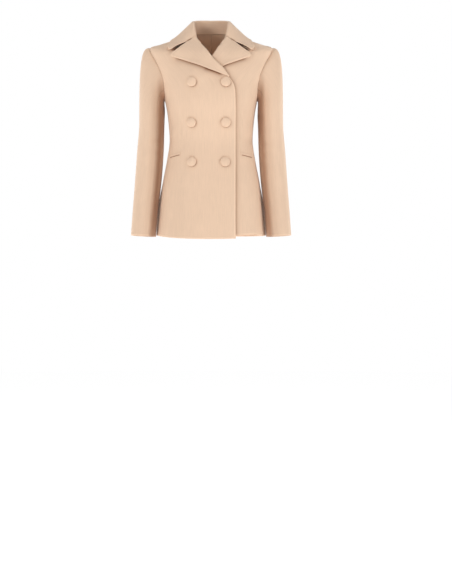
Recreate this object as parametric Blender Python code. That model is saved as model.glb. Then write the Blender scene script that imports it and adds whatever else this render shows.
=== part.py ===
"""Short double-breasted coat in the hollow shape it has when it is worn.

Frame: +X is the wearer's left, -Y is the front and +Z is up. The origin is at the neck, midway between the
two points where the shoulder seams meet the collar. Tables are in millimetres and degrees, meshes in metres.

The body cloth is one smooth surface, body(angle, level). The angle runs round the wearer: 0 at centre front,
90 at the side and 180 at centre back. The level climbs from the hem (0) up to the neck seam (680). Each half
is worked out on its own side, with x growing away from centre front, and the right half is then mirrored.
"""

import bmesh
import bpy
import numpy as np

MM = 0.001


def table(columns, *rows):
    """A table as a dictionary of its named columns; the first column is the one it is read by."""
    return {name: np.array(values, float) for name, values in zip(columns.split(), zip(*rows))}


# Colours and finish: the coat's own colour, and how light each kind of piece is against it
CAMEL = np.array([0.78, 0.58, 0.43])
SHADES = {"front": 1.0, "side_panel": 0.95, "back": 0.97, "sleeve_upper": 0.98, "sleeve_under": 0.92,
          "pocket_welt": 0.9, "lapel": 1.04, "collar": 1.02, "button": 0.88}
CLOTH_ROUGHNESS = 0.92
COVER_ROUGHNESS = 0.9

# Cloth and seams
CLOTH = 2.2             # body and sleeve wall
LAPEL_CLOTH = 3.2       # lapel and collar: two layers turned together
SEAM_GAP = 0.3          # between two pieces that are sewn together
SQUARENESS = 2.35       # 2 would make every body section an ellipse
SMALL_ANGLE = 0.4       # steps over which slopes of the body cloth are measured
SMALL_LEVEL = 1.0
FIND_STEPS = 14         # rounds of the search for a point of the front
SAG = 1.6               # how roundly a level dips from the side to centre front and centre back

# Front closing
EDGE_X = 73.5           # the closing edge stands this far past centre front
OVERLAP_LIFT = 3.2      # the right front lies this far over the left one
LAPEL_LIFT = 5.0        # and this much more where the left lapel lies between them
LAPEL_UNDER = ((-10.0, -97.0, 20.0), (42.0, -136.0, 5.5))   # that place on the right front: x, z, half width
LIFT_EASE = 42.0        # how far that extra lift takes to die away
OVER_EASE = 45.0        # how far the first lift takes to die away past the closing edge and above OVER_TOP
OVER_TOP = -75.0        # the height where it starts to do so
HEM_STEP = 8.5          # the left front's hem is this much shorter
HEM_STEP_END = (45.0, 25.0)     # the angle where the step starts to die away, and the angle that takes

# Buttons: three rows of two, covered in cloth
BUTTON_RADIUS = 15.8
BUTTON_HEIGHT = 7.0
BUTTON_SEAT = 0.7       # how far its flat underside is clear of the cloth
SHANK_SHARE = 0.285     # the shank's share of the button's radius
SHANK_GAP = 0.3         # between the shank and the cloth it is sewn to
BUTTON_SIDES = 16
BUTTON_PROFILE = table(
    "radius height",    # as shares of the button's radius and height
    (0.90, 0.00),       # underside
    (1.00, 0.16),       # rim
    (0.93, 0.31),
    (0.60, 0.80),       # dome
)
BUTTON_ROWS = ("top", "middle", "bottom")
BUTTONS = table(
    "z outer inner",
    (-161.0, -54.5, 43.5),
    (-279.0, -56.0, 43.0),
    (-399.0, -56.0, 41.5),
)

# Pocket welts, slanting down to the side: (angle, level) at the inner and the outer end
WELT_ENDS = ((41.0, 244.0), (76.0, 235.0))
WELT_WIDTH = 8.0
WELT_THICK = 1.4
WELT_SEAT = 0.7
WELT_STRIPS = 8

BODY = table(
    "level front_z side_z back_z half_width front_depth back_depth side_y",
    (0,   -632, -617, -616, 168.5, 120, 127, 3),    # hem
    (80,  -541, -540, -540, 161.5, 117, 125, 3),    # seat
    (160, -461, -460, -460, 150.0, 112, 113, 1),    # hip
    (235, -385, -385, -385, 135.5, 106, 98, 0),     # pockets
    (285, -335, -335, -335, 128.0, 104, 89, -2),    # waist
    (340, -280, -280, -280, 130.5, 113, 94, -2),    # midriff
    (415, -205, -205, -205, 142.0, 128, 106, 0),    # bust
    (440, -180, -180, -180, 149.0, 127, 109, 0),    # armpit
    (490, -136, -125, -125, 166.0, 119, 110, 0),    # chest
    (535, -98, -78, -80, 182.0, 109, 105, 1),       # shoulder blades
    (572, -71, -40, -51, 187.5, 100, 98, 2),        # shoulder point
    (598, -58, -31, -35, 160.0, 91, 92, 3),
    (625, -46, -20, -18, 128.0, 81, 84, 5),         # middle of the shoulder seam
    (680, -26, 4, 12, 70.0, 65, 58, 8),             # neck seam
)
NECK_LEVEL = 680

# The armhole, from the underarm to the shoulder point, up the front and up the back
ARMHOLE = table(
    "level front_angle back_angle",
    (414, 90.0, 90.0),
    (419, 82.0, 98.0),
    (429, 75.0, 104.5),
    (443, 70.5, 109.0),
    (480, 63.8, 113.3),
    (500, 64.0, 113.0),
    (521, 66.0, 111.0),
    (540, 71.5, 107.0),
    (558, 79.0, 100.5),
    (572, 90.0, 90.0),
)
SIDE_SEAM_ROW = 3       # the row of ARMHOLE where the front, the side panel and the back meet
LOWER_LEVELS = (0, 42, 90, 140, 190, 235, 272, 310, 348, 382)
SHOULDER_LEVELS = (598, 625, 652, NECK_LEVEL)
FRONT_STRIPS = 11
BACK_STRIPS = 8

# The front's edge from the closing edge up the fold of the lapel to the gorge seam. The right front's edge
# lies past centre front as far as x is above 0.
EDGE = table(
    "z x",
    *((z, EDGE_X) for z in (-614, -540, -460, -385, -335, -280, -224)),
    (-200, 73.0), (-178, 71.0), (-161, 65.5), (-146, 54.5), (-131, 41.5), (-118, 28.5),
    (-98, 7.5), (-82, -5.5), (-47, -31.0), (-30, -41.0), (-15, -47.0),
)
BREAK_LEVEL = 480       # where the lapel starts to turn out
BREAK_Z = -146.0        # the height of that place
UNDER_Z = -78.0         # the left lapel is pressed flat below this height, under the right front
OPENING = 30.0          # how far up the fold takes to open from pressed to soft
LAPEL_GAIN = 0.25       # the share of the lapel's length over which it gains its full thickness

# The lapel's outline on its own side of the front, as (x, z), and the collar's front end
LAPEL_LOW = ((-22, -134), (8, -124), (50, -106), (104, -84.5), (111, -79.5))
LAPEL_TIP = ((111, -79.5), (117.5, -73), (114.5, -66))
NOTCH = (67.0, -31.0)
COLLAR_CORNER = (115.5, -57.0)
ACROSS = (0, 0.06, 0.14, 0.26, 0.42, 0.6, 0.8, 1)

# The fold: how far past the front's edge, and how far out, the middle of the cloth is
FOLD = table(
    "open_past open_out pressed_past pressed_out",
    (0.3, -1.1, 0.3, -1.1),
    (2.6, -0.6, 1.9, -0.7),
    (4.0, 1.9, 2.5, 0.75),
    (2.9, 4.8, 1.9, 2.1),
    (0.0, 6.2, 0.0, 2.65),
)
FOLD_EASE = 24.0        # the lapel settles onto the front over this distance
LAPEL_REST = 3.0        # where the middle of the lapel settles, out from the front
BREAK_REST = 2.1        # and the same at the break, where it is as thin as the front

# The collar, round half the neck from the gorge to centre back
COLLAR = table(
    "neck_angle fold_x fold_y fold_z mid_angle mid_level mid_out edge_angle edge_level",
    (40, 46, -52, -8, 39, 632, 5, 38.5, 586),
    (51, 49, -35, 11, 47, 638, 6, 45.5, 587),
    (62, 50.5, -21, 24, 61, 644, 6, 57, 608),
    (76, 51.5, -6, 34, 76, 649, 7, 73, 626),
    (90, 52, 8, 40, 90, 652, 8, 90, 637),
    (110, 49, 26, 45, 110, 656, 9, 110, 635),
    (135, 38, 42, 49, 135, 657, 12, 135, 630),
    (160, 18, 51, 51, 160, 655, 11, 160, 623),
    (180, 0, 53, 51, 180, 654, 11, 180, 620),
)
COLLAR_HALF_STRIPS = 13
COLLAR_REST = 4.0       # where the middle of the collar's edge settles, out from the body
FOLD_TURN = 3.2         # half the distance between stand and fall at the collar's fold
FOLD_ROUND = (0.6, 0.7)     # how far the fold's two inner places stand out and down, in FOLD_TURNs
STAND_MIDDLE = 0.45     # where the stand's middle row lies on its way up
SEAM_LOOK = 4.0         # how far below the neck seam its direction is read

# The sleeve below the cap, in level sections
SLEEVE = table(
    "z centre_x centre_y half_width half_depth",
    (-228, 182.0, 3, 39.5, 60),     # upper arm
    (-290, 183.5, 5, 39.0, 57),
    (-350, 186.8, 4, 40.8, 53),     # elbow
    (-410, 190.5, -1, 41.2, 50),
    (-470, 195.0, -9, 40.6, 47),
    (-540, 201.3, -18, 39.3, 45),
    (-618, 207.2, -27, 38.5, 44),   # cuff
)
CUFF_TILT = 4.0         # the cuff's inner side hangs this much lower
CAP_STEPS = (0, 0.06, 0.15, 0.27, 0.42, 0.6, 0.8)
CAP_REACH = (3.0, 23.5)     # how far the sleeve first runs outward, at the underarm and at the shoulder
CAP_RISE = 4.0              # how much the padded sleeve head stands up
CAP_START = 2.0             # how far the sleeve goes on straight out of the armhole first
CAP_OUTWARD = 40.0          # how strongly its first run leans outward
CAP_DROP = (0.45, 0.88)     # share of the cap's height over which it hangs straight, at the same two places
SLEEVE_SEAMS = (3, 13)      # columns of the sleeve, counted from the underarm round the front


def unit(vectors):
    """The vectors at length 1."""
    return vectors / np.linalg.norm(vectors, axis=-1, keepdims=True)


def smooth_step(value):
    """0 below 0, 1 above 1 and a soft S between them."""
    t = np.clip(value, 0, 1)
    return t * t * (3 - 2 * t)


def smooth_value(keys, values, at):
    """Smooth curve through (key, value) pairs, read at one place or an array of places."""
    step = np.diff(keys)
    rise = np.diff(values) / step
    slope = np.empty(len(keys))
    slope[1:-1] = (rise[:-1] * step[1:] + rise[1:] * step[:-1]) / (step[:-1] + step[1:])
    slope[0], slope[-1] = rise[0], rise[-1]
    at = np.asarray(at, float)
    i = np.clip(np.searchsorted(keys, at, side="right") - 1, 0, len(step) - 1)
    t = (at - keys[i]) / step[i]
    inside = np.clip(t, 0, 1)
    curve = (
        (2 * inside**3 - 3 * inside**2 + 1) * values[i]
        + (inside**3 - 2 * inside**2 + inside) * step[i] * slope[i]
        + (3 * inside**2 - 2 * inside**3) * values[i + 1]
        + (inside**3 - inside**2) * step[i] * slope[i + 1]
    )
    past = (t - inside) * step[i]
    return curve + past * np.where(t < 0, slope[i], slope[i + 1])


def table_value(rows, column, at):
    """Smooth value of a table's column at a value, or an array of values, of its first column."""
    keys = next(iter(rows.values()))
    return smooth_value(keys, rows[column], at)


def along_line(points, share):
    """Points at the given shares of the length of a line of points."""
    points = np.asarray(points, float)
    length = np.concatenate([[0], np.cumsum(np.linalg.norm(np.diff(points, axis=0), axis=1))])
    at = np.asarray(share, float) * length[-1]
    return np.stack([np.interp(at, length, points[:, i]) for i in range(points.shape[1])], -1)


def body(angle, level):
    """Point of the body cloth's outer face; angles below 0 are past centre front."""
    column = {name: table_value(BODY, name, level) for name in BODY}
    turn = np.radians(np.asarray(angle, float))
    power = 2 / SQUARENESS
    across = np.sign(np.sin(turn)) * np.abs(np.sin(turn)) ** power
    along = np.abs(np.cos(turn)) ** power
    front = np.cos(turn) >= 0
    x = column["half_width"] * across
    y = column["side_y"] + np.where(front, -column["front_depth"], column["back_depth"]) * along
    end_z = np.where(front, column["front_z"], column["back_z"])
    z = column["side_z"] + (end_z - column["side_z"]) * along**SAG
    return np.stack(np.broadcast_arrays(x, y, z), -1)


def body_normal(angle, level):
    """Outward normal of the body cloth."""
    across = body(angle + SMALL_ANGLE, level) - body(angle - SMALL_ANGLE, level)
    up = body(angle, level + SMALL_LEVEL) - body(angle, level - SMALL_LEVEL)
    return unit(np.cross(across, up))


def find_on_front(x, z):
    """(angle, level) of the point of the front that is seen at (x, z) from straight ahead."""
    x, z = np.broadcast_arrays(np.asarray(x, float), np.asarray(z, float))
    level = np.interp(z, BODY["front_z"], BODY["level"])
    half = table_value(BODY, "half_width", level)
    angle = np.degrees(np.arcsin(np.clip(np.abs(x) / half, 0, 0.97) ** (SQUARENESS / 2))) * np.sign(x)
    angle = np.where(np.abs(angle) < 1, 1.0, angle)
    for _ in range(FIND_STEPS):
        here = body(angle, level)
        d_angle = (body(angle + SMALL_ANGLE / 4, level) - here) / (SMALL_ANGLE / 4)
        d_level = (body(angle, level + SMALL_LEVEL / 4) - here) / (SMALL_LEVEL / 4)
        miss_x, miss_z = x - here[..., 0], z - here[..., 2]
        det = d_angle[..., 0] * d_level[..., 2] - d_level[..., 0] * d_angle[..., 2]
        step_angle = (miss_x * d_level[..., 2] - d_level[..., 0] * miss_z) / det
        step_level = (d_angle[..., 0] * miss_z - miss_x * d_angle[..., 2]) / det
        angle = angle + np.clip(step_angle, -8, 8)
        level = level + np.clip(step_level, -30, 30)
    return angle, level


def lift(right, points):
    """How far the front lies out from the body cloth; only the right front is lifted."""
    if not right:
        return np.zeros(points.shape[:-1])
    x, z = points[..., 0], points[..., 2]
    over_left = 1 - smooth_step((x - EDGE_X) / OVER_EASE)
    over_left = over_left * (1 - smooth_step((z - OVER_TOP) / OVER_EASE))
    start, end = np.array(LAPEL_UNDER[0]), np.array(LAPEL_UNDER[1])
    run = (end - start)[:2]
    share = np.clip(((x - start[0]) * run[0] + (z - start[1]) * run[1]) / (run @ run), 0, 1)
    away = np.hypot(x - start[0] - share * run[0], z - start[1] - share * run[1])
    near_lapel = 1 - smooth_step((away - start[2] - share * (end[2] - start[2])) / LIFT_EASE)
    return OVERLAP_LIFT * over_left + LAPEL_LIFT * near_lapel


def front_point(right, angle, level, out=0.0):
    """Point of one front, with x growing away from centre front on its own side."""
    points = body(angle, level)
    return points + body_normal(angle, level) * (lift(right, points) + out)[..., None]


def edge_angle(level):
    """Angle of the front's edge at a level; it is the same on both fronts."""
    angles, levels = find_on_front(-EDGE["x"], EDGE["z"])
    levels[0] = 0
    return smooth_value(levels, angles, level)


def trimmed(grid, row_start=0.0, row_end=0.0, column_start=0.0, column_end=0.0):
    """The grid of points with its borders drawn in by the given distances."""
    grid = grid.copy()
    grid[0] += unit(grid[1] - grid[0]) * row_start
    grid[-1] += unit(grid[-2] - grid[-1]) * row_end
    grid[:, 0] += unit(grid[:, 1] - grid[:, 0]) * column_start
    grid[:, -1] += unit(grid[:, -2] - grid[:, -1]) * column_end
    return grid


def grid_normals(grid):
    """Normals of a grid of points."""
    rows = np.gradient(grid, axis=0)
    columns = np.gradient(grid, axis=1)
    return unit(np.cross(rows, columns))


def cloth_material(name, roughness):
    """A plain material for one piece of cloth, in its own shade."""
    shade = next(share for piece, share in SHADES.items() if name.startswith(piece))
    material = bpy.data.materials.new(name)
    material.use_nodes = True
    shader = material.node_tree.nodes["Principled BSDF"]
    shader.inputs["Base Color"].default_value = (*CAMEL * shade, 1)
    shader.inputs["Roughness"].default_value = roughness
    shader.inputs["Metallic"].default_value = 0
    return material


def solid(name, points, faces, material):
    """A named object from points in millimetres."""
    mesh = bpy.data.meshes.new(name)
    mesh.from_pydata([tuple(point * MM) for point in points], [], faces)
    shape = bmesh.new()
    shape.from_mesh(mesh)
    bmesh.ops.recalc_face_normals(shape, faces=shape.faces)
    bmesh.ops.triangulate(shape, faces=shape.faces)
    shape.to_mesh(mesh)
    shape.free()
    mesh.materials.append(material)
    part = bpy.data.objects.new(name, mesh)
    bpy.context.scene.collection.objects.link(part)
    return part


def sheet(name, outer, inner, right, material):
    """A closed piece of cloth between two grids of points, mirrored if it is on the right half."""
    rows, columns = outer.shape[:2]
    points = np.concatenate([outer.reshape(-1, 3), inner.reshape(-1, 3)])
    if right:
        points = points * (-1, 1, 1)
    index = np.arange(rows * columns).reshape(rows, columns)
    under = index + rows * columns
    faces = []
    for i in range(rows - 1):
        for j in range(columns - 1):
            corner = ((i, j), (i, j + 1), (i + 1, j + 1), (i + 1, j))
            faces.append([int(index[at]) for at in corner])
            faces.append([int(under[at]) for at in reversed(corner)])
    rim = [(0, j) for j in range(columns)] + [(i, columns - 1) for i in range(1, rows)]
    rim += [(rows - 1, j) for j in range(columns - 2, -1, -1)] + [(i, 0) for i in range(rows - 2, 0, -1)]
    for here, there in zip(rim, rim[1:] + rim[:1]):
        faces.append([int(index[there]), int(index[here]), int(under[here]), int(under[there])])
    return solid(name, points, faces, material)


def body_rows(side):
    """Levels of the front's or the back's rows, and the angle of its side seam, armhole or shoulder there."""
    cut_levels, cut_angles = ARMHOLE["level"][SIDE_SEAM_ROW:], ARMHOLE[side][SIDE_SEAM_ROW:]
    middle = (LOWER_LEVELS[-1] + cut_levels[0]) / 2
    levels = [*LOWER_LEVELS, middle, *cut_levels, *SHOULDER_LEVELS]
    angles = [cut_angles[0]] * (len(LOWER_LEVELS) + 1) + [*cut_angles] + [90.0] * len(SHOULDER_LEVELS)
    return np.array(levels, float), np.array(angles, float)


def front(right, name):
    """One front, from the closing edge and the lapel's fold to the side seam, armhole and shoulder seam."""
    levels, far = body_rows("front_angle")
    near = edge_angle(levels)
    share = np.linspace(0, 1, FRONT_STRIPS + 1)
    angles = near[:, None] + (far - near)[:, None] * share
    levels = np.repeat(levels[:, None], len(share), axis=1)
    if not right:
        start, ease = HEM_STEP_END
        levels[0] += HEM_STEP * (1 - smooth_step((angles[0] - start) / ease))
    outer = front_point(right, angles, levels)
    inner = front_point(right, angles, levels, np.full(angles.shape, -CLOTH))
    half = SEAM_GAP / 2
    outer, inner = (trimmed(grid, row_end=half, column_end=half) for grid in (outer, inner))
    return sheet(name, outer, inner, right, cloth_material(name, CLOTH_ROUGHNESS))


def side_panel(right, name):
    """The panel under the arm, between the front and the back, cut out for the armhole."""
    cut = {name: values[:SIDE_SEAM_ROW + 1] for name, values in ARMHOLE.items()}
    angles = np.concatenate([cut["front_angle"][::-1], cut["back_angle"][1:]])
    tops = np.concatenate([cut["level"][::-1], cut["level"][1:]])
    lowest = LOWER_LEVELS[-1]
    rows = [np.full(len(angles), level, float) for level in LOWER_LEVELS]
    rows += [(lowest + tops) / 2, tops]
    levels = np.array(rows)
    angles = np.broadcast_to(angles, levels.shape)
    outer = body(angles, levels)
    inner = outer - body_normal(angles, levels) * CLOTH
    half = SEAM_GAP / 2
    outer, inner = (trimmed(grid, 0, half, half, half) for grid in (outer, inner))
    return sheet(name, outer, inner, right, cloth_material(name, CLOTH_ROUGHNESS))


def back(right, name):
    """One half of the back, from the side seam to the seam at centre back."""
    levels, near = body_rows("back_angle")
    share = np.linspace(0, 1, BACK_STRIPS + 1)
    angles = near[:, None] + (180 - near)[:, None] * share
    levels = np.repeat(levels[:, None], len(share), axis=1)
    outer = body(angles, levels)
    inner = outer - body_normal(angles, levels) * CLOTH
    half = SEAM_GAP / 2
    outer, inner = (trimmed(grid, 0, half, half, half) for grid in (outer, inner))
    return sheet(name, outer, inner, right, cloth_material(name, CLOTH_ROUGHNESS))


def fold_path(right, angle, level, openness, rest):
    """Points of the fold round the front's edge at each of its places, from below it to above it."""
    here = front_point(right, angle, level)
    normal = body_normal(angle, level)
    along = unit(np.gradient(here, axis=0))
    past = np.cross(along, normal)
    past = past * -np.sign((past * (1, 0, 0)).sum(-1, keepdims=True))
    path = []
    for open_past, open_out, pressed_past, pressed_out in zip(*FOLD.values()):
        thinned_out = pressed_out if pressed_out < 0 else pressed_out * rest / LAPEL_REST
        distance = pressed_past + (open_past - pressed_past) * openness
        out = thinned_out + (open_out - thinned_out) * openness
        path.append(here + past * distance[:, None] + normal * out[:, None])
    return np.stack(path, 1)


def settled(distance, openness, rest):
    """How far out the middle of the lapel lies at a distance from its fold."""
    rise = (FOLD["open_out"][-1] - rest) * openness
    return rest + rise * np.exp(-((distance / FOLD_EASE) ** 2))


def openness_of(right, z):
    """1 where the fold is soft and 0 where it is pressed flat, at the break and below the right front."""
    return smooth_step((z - (BREAK_Z if right else UNDER_Z)) / OPENING)


def lapel_flat(levels):
    """The lapel seen from the front, as rows of (x, z) that start on the front's edge at the levels."""
    start = body(edge_angle(levels), levels)
    fold = start[:, [0, 2]]
    step = np.linalg.norm(np.diff(fold, axis=0), axis=1)
    v = (np.concatenate([[0], np.cumsum(step)]) / step.sum())[:, None, None]
    u = np.array(ACROSS)[None, :, None]
    low = along_line([fold[0], *LAPEL_LOW], ACROSS)[None]
    high = along_line([fold[-1], NOTCH, LAPEL_TIP[-1]], ACROSS)[None]
    tip = along_line(LAPEL_TIP, v[:, 0, 0])[:, None]
    low_corners = (1 - u) * low[:, :1] + u * low[:, -1:]
    high_corners = (1 - u) * high[:, :1] + u * high[:, -1:]
    sides = (1 - v) * (low - low_corners) + v * (high - high_corners)
    return sides + (1 - u) * fold[:, None] + u * tip, v[:, 0, 0]


def lapel_shape(right):
    """Middle surface of the lapel, its normals and the half thickness of each of its rows."""
    levels = body_rows("front_angle")[0]
    levels = levels[levels >= BREAK_LEVEL]
    flat, v = lapel_flat(levels)
    full = smooth_step(v / LAPEL_GAIN)
    rest = BREAK_REST + (LAPEL_REST - BREAK_REST) * full
    openness = openness_of(right, flat[:, 0, 1])
    angle, level = find_on_front(flat[..., 0], flat[..., 1])
    angle[:, 0], level[:, 0] = edge_angle(levels), levels
    distance = np.linalg.norm(flat - flat[:, :1], axis=-1)
    over = front_point(right, angle, level, settled(distance, openness[:, None], rest[:, None]))
    edge = fold_path(right, angle[:, 0], level[:, 0], openness, rest)
    middle = np.concatenate([edge[:, :-1], over], 1)
    normals = grid_normals(middle)
    normals[:, 0] = body_normal(angle[:, 0], level[:, 0])
    return middle, normals, (CLOTH + (LAPEL_CLOTH - CLOTH) * full) / 2


def two_faces(middle, normals, half_thickness):
    """Outer and inner face of a turned piece, thinner at its sewn edge."""
    half = np.repeat(half_thickness[:, None], middle.shape[1], axis=1)
    half[:, 0] = CLOTH / 2
    half[:, 1] = (half[:, 0] + half[:, 2]) / 2
    shift = normals * half[..., None]
    return middle + shift, middle - shift


def lapel(right, name):
    """One lapel, turned round the front's edge and lying on the front."""
    outer, inner = two_faces(*lapel_shape(right))
    outer, inner = (trimmed(grid, row_end=SEAM_GAP / 2) for grid in (outer, inner))
    return sheet(name, outer, inner, right, cloth_material(name, CLOTH_ROUGHNESS))


def collar_end():
    """Middle line of the collar's front end, where it meets the lapel and then the notch."""
    start = body(edge_angle(NECK_LEVEL), NECK_LEVEL)
    flat = along_line([start[[0, 2]], NOTCH, COLLAR_CORNER], ACROSS)
    angle, level = find_on_front(flat[:, 0], flat[:, 1])
    distance = np.linalg.norm(flat - flat[:1], axis=-1)
    return front_point(False, angle, level, settled(distance, 1.0, LAPEL_REST))


def collar_line(angle):
    """Middle line of the collar at one angle round the neck: up the stand, over the fold, down the fall."""
    value = {name: table_value(COLLAR, name, angle) for name in COLLAR}
    normal = body_normal(angle, NECK_LEVEL)
    seam = body(angle, NECK_LEVEL) - normal * CLOTH / 2
    below = NECK_LEVEL - SEAM_LOOK
    inward = unit(seam - (body(angle, below) - body_normal(angle, below) * CLOTH / 2))
    start = seam + inward * SEAM_GAP
    fold = np.array([value["fold_x"], value["fold_y"], value["fold_z"]])
    up = unit(fold - start)
    turn = unit(normal - up * (normal @ up))
    mid = body(value["mid_angle"], value["mid_level"])
    mid = mid + body_normal(value["mid_angle"], value["mid_level"]) * value["mid_out"]
    edge = body(value["edge_angle"], value["edge_level"])
    edge = edge + body_normal(value["edge_angle"], value["edge_level"]) * COLLAR_REST
    out, down = np.array(FOLD_ROUND) * FOLD_TURN
    stand = [start, start + (fold - start) * STAND_MIDDLE, fold - up * FOLD_TURN, fold + turn * out]
    begin = fold + turn * FOLD_TURN * 2 - up * down
    bend = 2 * mid - (begin + edge) / 2
    fall = [begin * (1 - t) ** 2 + bend * 2 * t * (1 - t) + edge * t * t for t in ACROSS]
    return np.array(stand + fall), normal


def collar_shape():
    """Middle surface of the whole collar and its normals, from the left end round the back to the right."""
    angles = np.linspace(COLLAR["neck_angle"][0], 180, COLLAR_HALF_STRIPS + 1)
    lines = [collar_line(angle) for angle in angles]
    half = np.array([line for line, _ in lines])
    lapel_middle, lapel_normals, _ = lapel_shape(False)
    folded = len(FOLD["open_out"]) - 1
    half[0, :folded] = lapel_middle[-1, :folded]
    half[0, folded:] = collar_end()
    half[0] += unit(half[1, 0] - lapel_middle[-2, 0]) * SEAM_GAP
    middle = np.concatenate([half, half[:-1][::-1] * (-1, 1, 1)])
    normals = grid_normals(middle)
    sewn = np.array([normal for _, normal in lines])
    normals[:, 0] = np.concatenate([sewn, sewn[:-1][::-1] * (-1, 1, 1)])
    normals[0] = lapel_normals[-1]
    normals[-1] = lapel_normals[-1] * (-1, 1, 1)
    return middle, normals, np.full(len(middle), LAPEL_CLOTH / 2)


def collar(name):
    """The collar: a stand round the neck and a fall turned down over it."""
    outer, inner = two_faces(*collar_shape())
    half = SEAM_GAP / 2
    outer, inner = (trimmed(grid, row_start=half, row_end=half) for grid in (outer, inner))
    return sheet(name, outer, inner, False, cloth_material(name, CLOTH_ROUGHNESS))


def sleeve_ring(z, count):
    """A level section of the sleeve, starting at its underarm side and going round by the front."""
    keys = -SLEEVE["z"]
    value = {name: smooth_value(keys, SLEEVE[name], -z) for name in SLEEVE}
    turn = np.linspace(0, 2 * np.pi, count, endpoint=False)
    x = value["centre_x"] - value["half_width"] * np.cos(turn)
    y = value["centre_y"] - value["half_depth"] * np.sin(turn)
    last, cuff = SLEEVE["z"][-2:]
    at_cuff = smooth_step((last - z) / (last - cuff))
    return np.stack([x, y, z - CUFF_TILT * at_cuff * (1 + np.cos(turn)) / 2], -1)


def armhole_line():
    """The armhole's points, normals, and directions out of the body cloth, as a closed line."""
    angle = np.concatenate([ARMHOLE["front_angle"], ARMHOLE["back_angle"][-2:0:-1]])
    level = np.concatenate([ARMHOLE["level"], ARMHOLE["level"][-2:0:-1]])
    points, normals = body(angle, level), body_normal(angle, level)
    along = unit(np.roll(points, -1, axis=0) - np.roll(points, 1, axis=0))
    across = np.cross(normals, along)
    centre = points.mean(axis=0)
    across = across * np.sign(((centre - points) * across).sum(-1, keepdims=True))
    return points, normals, across


def sleeve_surface():
    """Outer face of the left sleeve in rings, and the direction of the cloth's thickness in the first."""
    points, normals, across = armhole_line()
    count = len(points)
    ring = sleeve_ring(SLEEVE["z"][0], count)
    height = (points[:, 2] - points[0, 2]) / (points[:, 2].max() - points[0, 2])
    reach = (CAP_REACH[0] + (CAP_REACH[1] - CAP_REACH[0]) * height)[:, None]
    drop = (CAP_DROP[0] + (CAP_DROP[1] - CAP_DROP[0]) * height) * (points[:, 2] - ring[:, 2])
    start = points + across * SEAM_GAP
    first = start + across * CAP_START + unit((ring - points) * (1, 1, 0) + (CAP_OUTWARD, 0, 0)) * reach
    first = first + (height * CAP_RISE)[:, None] * (0, 0, 1)
    last = ring + drop[:, None] * (0, 0, 1)
    rings = []
    for t in CAP_STEPS:
        s = 1 - t
        rings.append(start * s**3 + first * 3 * s * s * t + last * 3 * s * t * t + ring * t**3)
    rings += [sleeve_ring(z, count) for z in SLEEVE["z"]]
    return np.array(rings), normals


def sleeve_piece(right, name, columns):
    """The part of a sleeve between two of its lengthwise seams."""
    rings, first_normal = sleeve_surface()
    closed = np.concatenate([rings[:, -1:], rings, rings[:, :1]], 1)
    normals = unit(np.cross(np.gradient(closed, axis=0), np.gradient(closed, axis=1)))[:, 1:-1]
    middle = rings.mean(axis=1, keepdims=True)
    if ((rings - middle) * normals)[-3].sum() < 0:
        normals = -normals
    normals[0] = first_normal
    outer = rings[:, columns]
    inner = outer - normals[:, columns] * CLOTH
    half = SEAM_GAP / 2
    outer, inner = (trimmed(grid, column_start=half, column_end=half) for grid in (outer, inner))
    return sheet(name, outer, inner, right, cloth_material(name, CLOTH_ROUGHNESS))


def sleeve(right, side):
    """A two-piece sleeve."""
    count = 2 * (len(ARMHOLE["level"]) - 1)
    first, second = SLEEVE_SEAMS
    upper = list(range(first, second + 1))
    under = [i % count for i in range(second, count + first + 1)]
    sleeve_piece(right, "sleeve_upper_" + side, upper)
    sleeve_piece(right, "sleeve_under_" + side, under)


def welt(right, name):
    """A pocket welt lying on the front and the side panel."""
    share = np.linspace(0, 1, WELT_STRIPS + 1)
    angle = WELT_ENDS[0][0] + (WELT_ENDS[1][0] - WELT_ENDS[0][0]) * share
    level = WELT_ENDS[0][1] + (WELT_ENDS[1][1] - WELT_ENDS[0][1]) * share
    angles = np.stack([angle, angle])
    levels = np.stack([level - WELT_WIDTH, level])
    outer = front_point(right, angles, levels, np.full(angles.shape, WELT_SEAT + WELT_THICK))
    inner = front_point(right, angles, levels, np.full(angles.shape, WELT_SEAT))
    return sheet(name, outer, inner, right, cloth_material(name, CLOTH_ROUGHNESS))


def button(name, x, z):
    """A covered button: a shank to the cloth, a rounded rim and a low dome."""
    angle, level = find_on_front(-x, z)
    turn = np.linspace(0, 2 * np.pi, BUTTON_SIDES, endpoint=False)
    around = find_on_front(-x + BUTTON_RADIUS * np.cos(turn), z + BUTTON_RADIUS * np.sin(turn))
    rim = front_point(True, *around) * (-1, 1, 1)
    middle = front_point(True, angle, level) * (-1, 1, 1)
    side = unit(((rim - middle) * np.cos(turn)[:, None]).sum(axis=0) * -1)
    up = unit(((rim - middle) * np.sin(turn)[:, None]).sum(axis=0))
    out = unit(np.cross(side, up))
    up = np.cross(out, side)
    highest = max(0.0, ((rim - middle) @ out).max())
    seat = middle + out * (highest + BUTTON_SEAT)
    shares = [SHANK_SHARE, *BUTTON_PROFILE["radius"]]
    heights = [SHANK_GAP - highest - BUTTON_SEAT, *BUTTON_PROFILE["height"] * BUTTON_HEIGHT]
    points = []
    for share, height in zip(shares, heights):
        ring = side * np.cos(turn)[:, None] + up * np.sin(turn)[:, None]
        points += list(seat + ring * BUTTON_RADIUS * share + out * height)
    top = len(points)
    points.append(seat + out * BUTTON_HEIGHT)
    rings = np.arange(top).reshape(-1, BUTTON_SIDES)
    faces = [rings[0].tolist()]
    for low, high in zip(rings[:-1], rings[1:]):
        strip = np.stack([low, np.roll(low, -1), np.roll(high, -1), high], 1)
        faces += strip.tolist()
    faces += [[int(here), int(there), top] for here, there in zip(rings[-1], np.roll(rings[-1], -1))]
    return solid(name, np.array(points), faces, cloth_material(name, COVER_ROUGHNESS))


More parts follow.
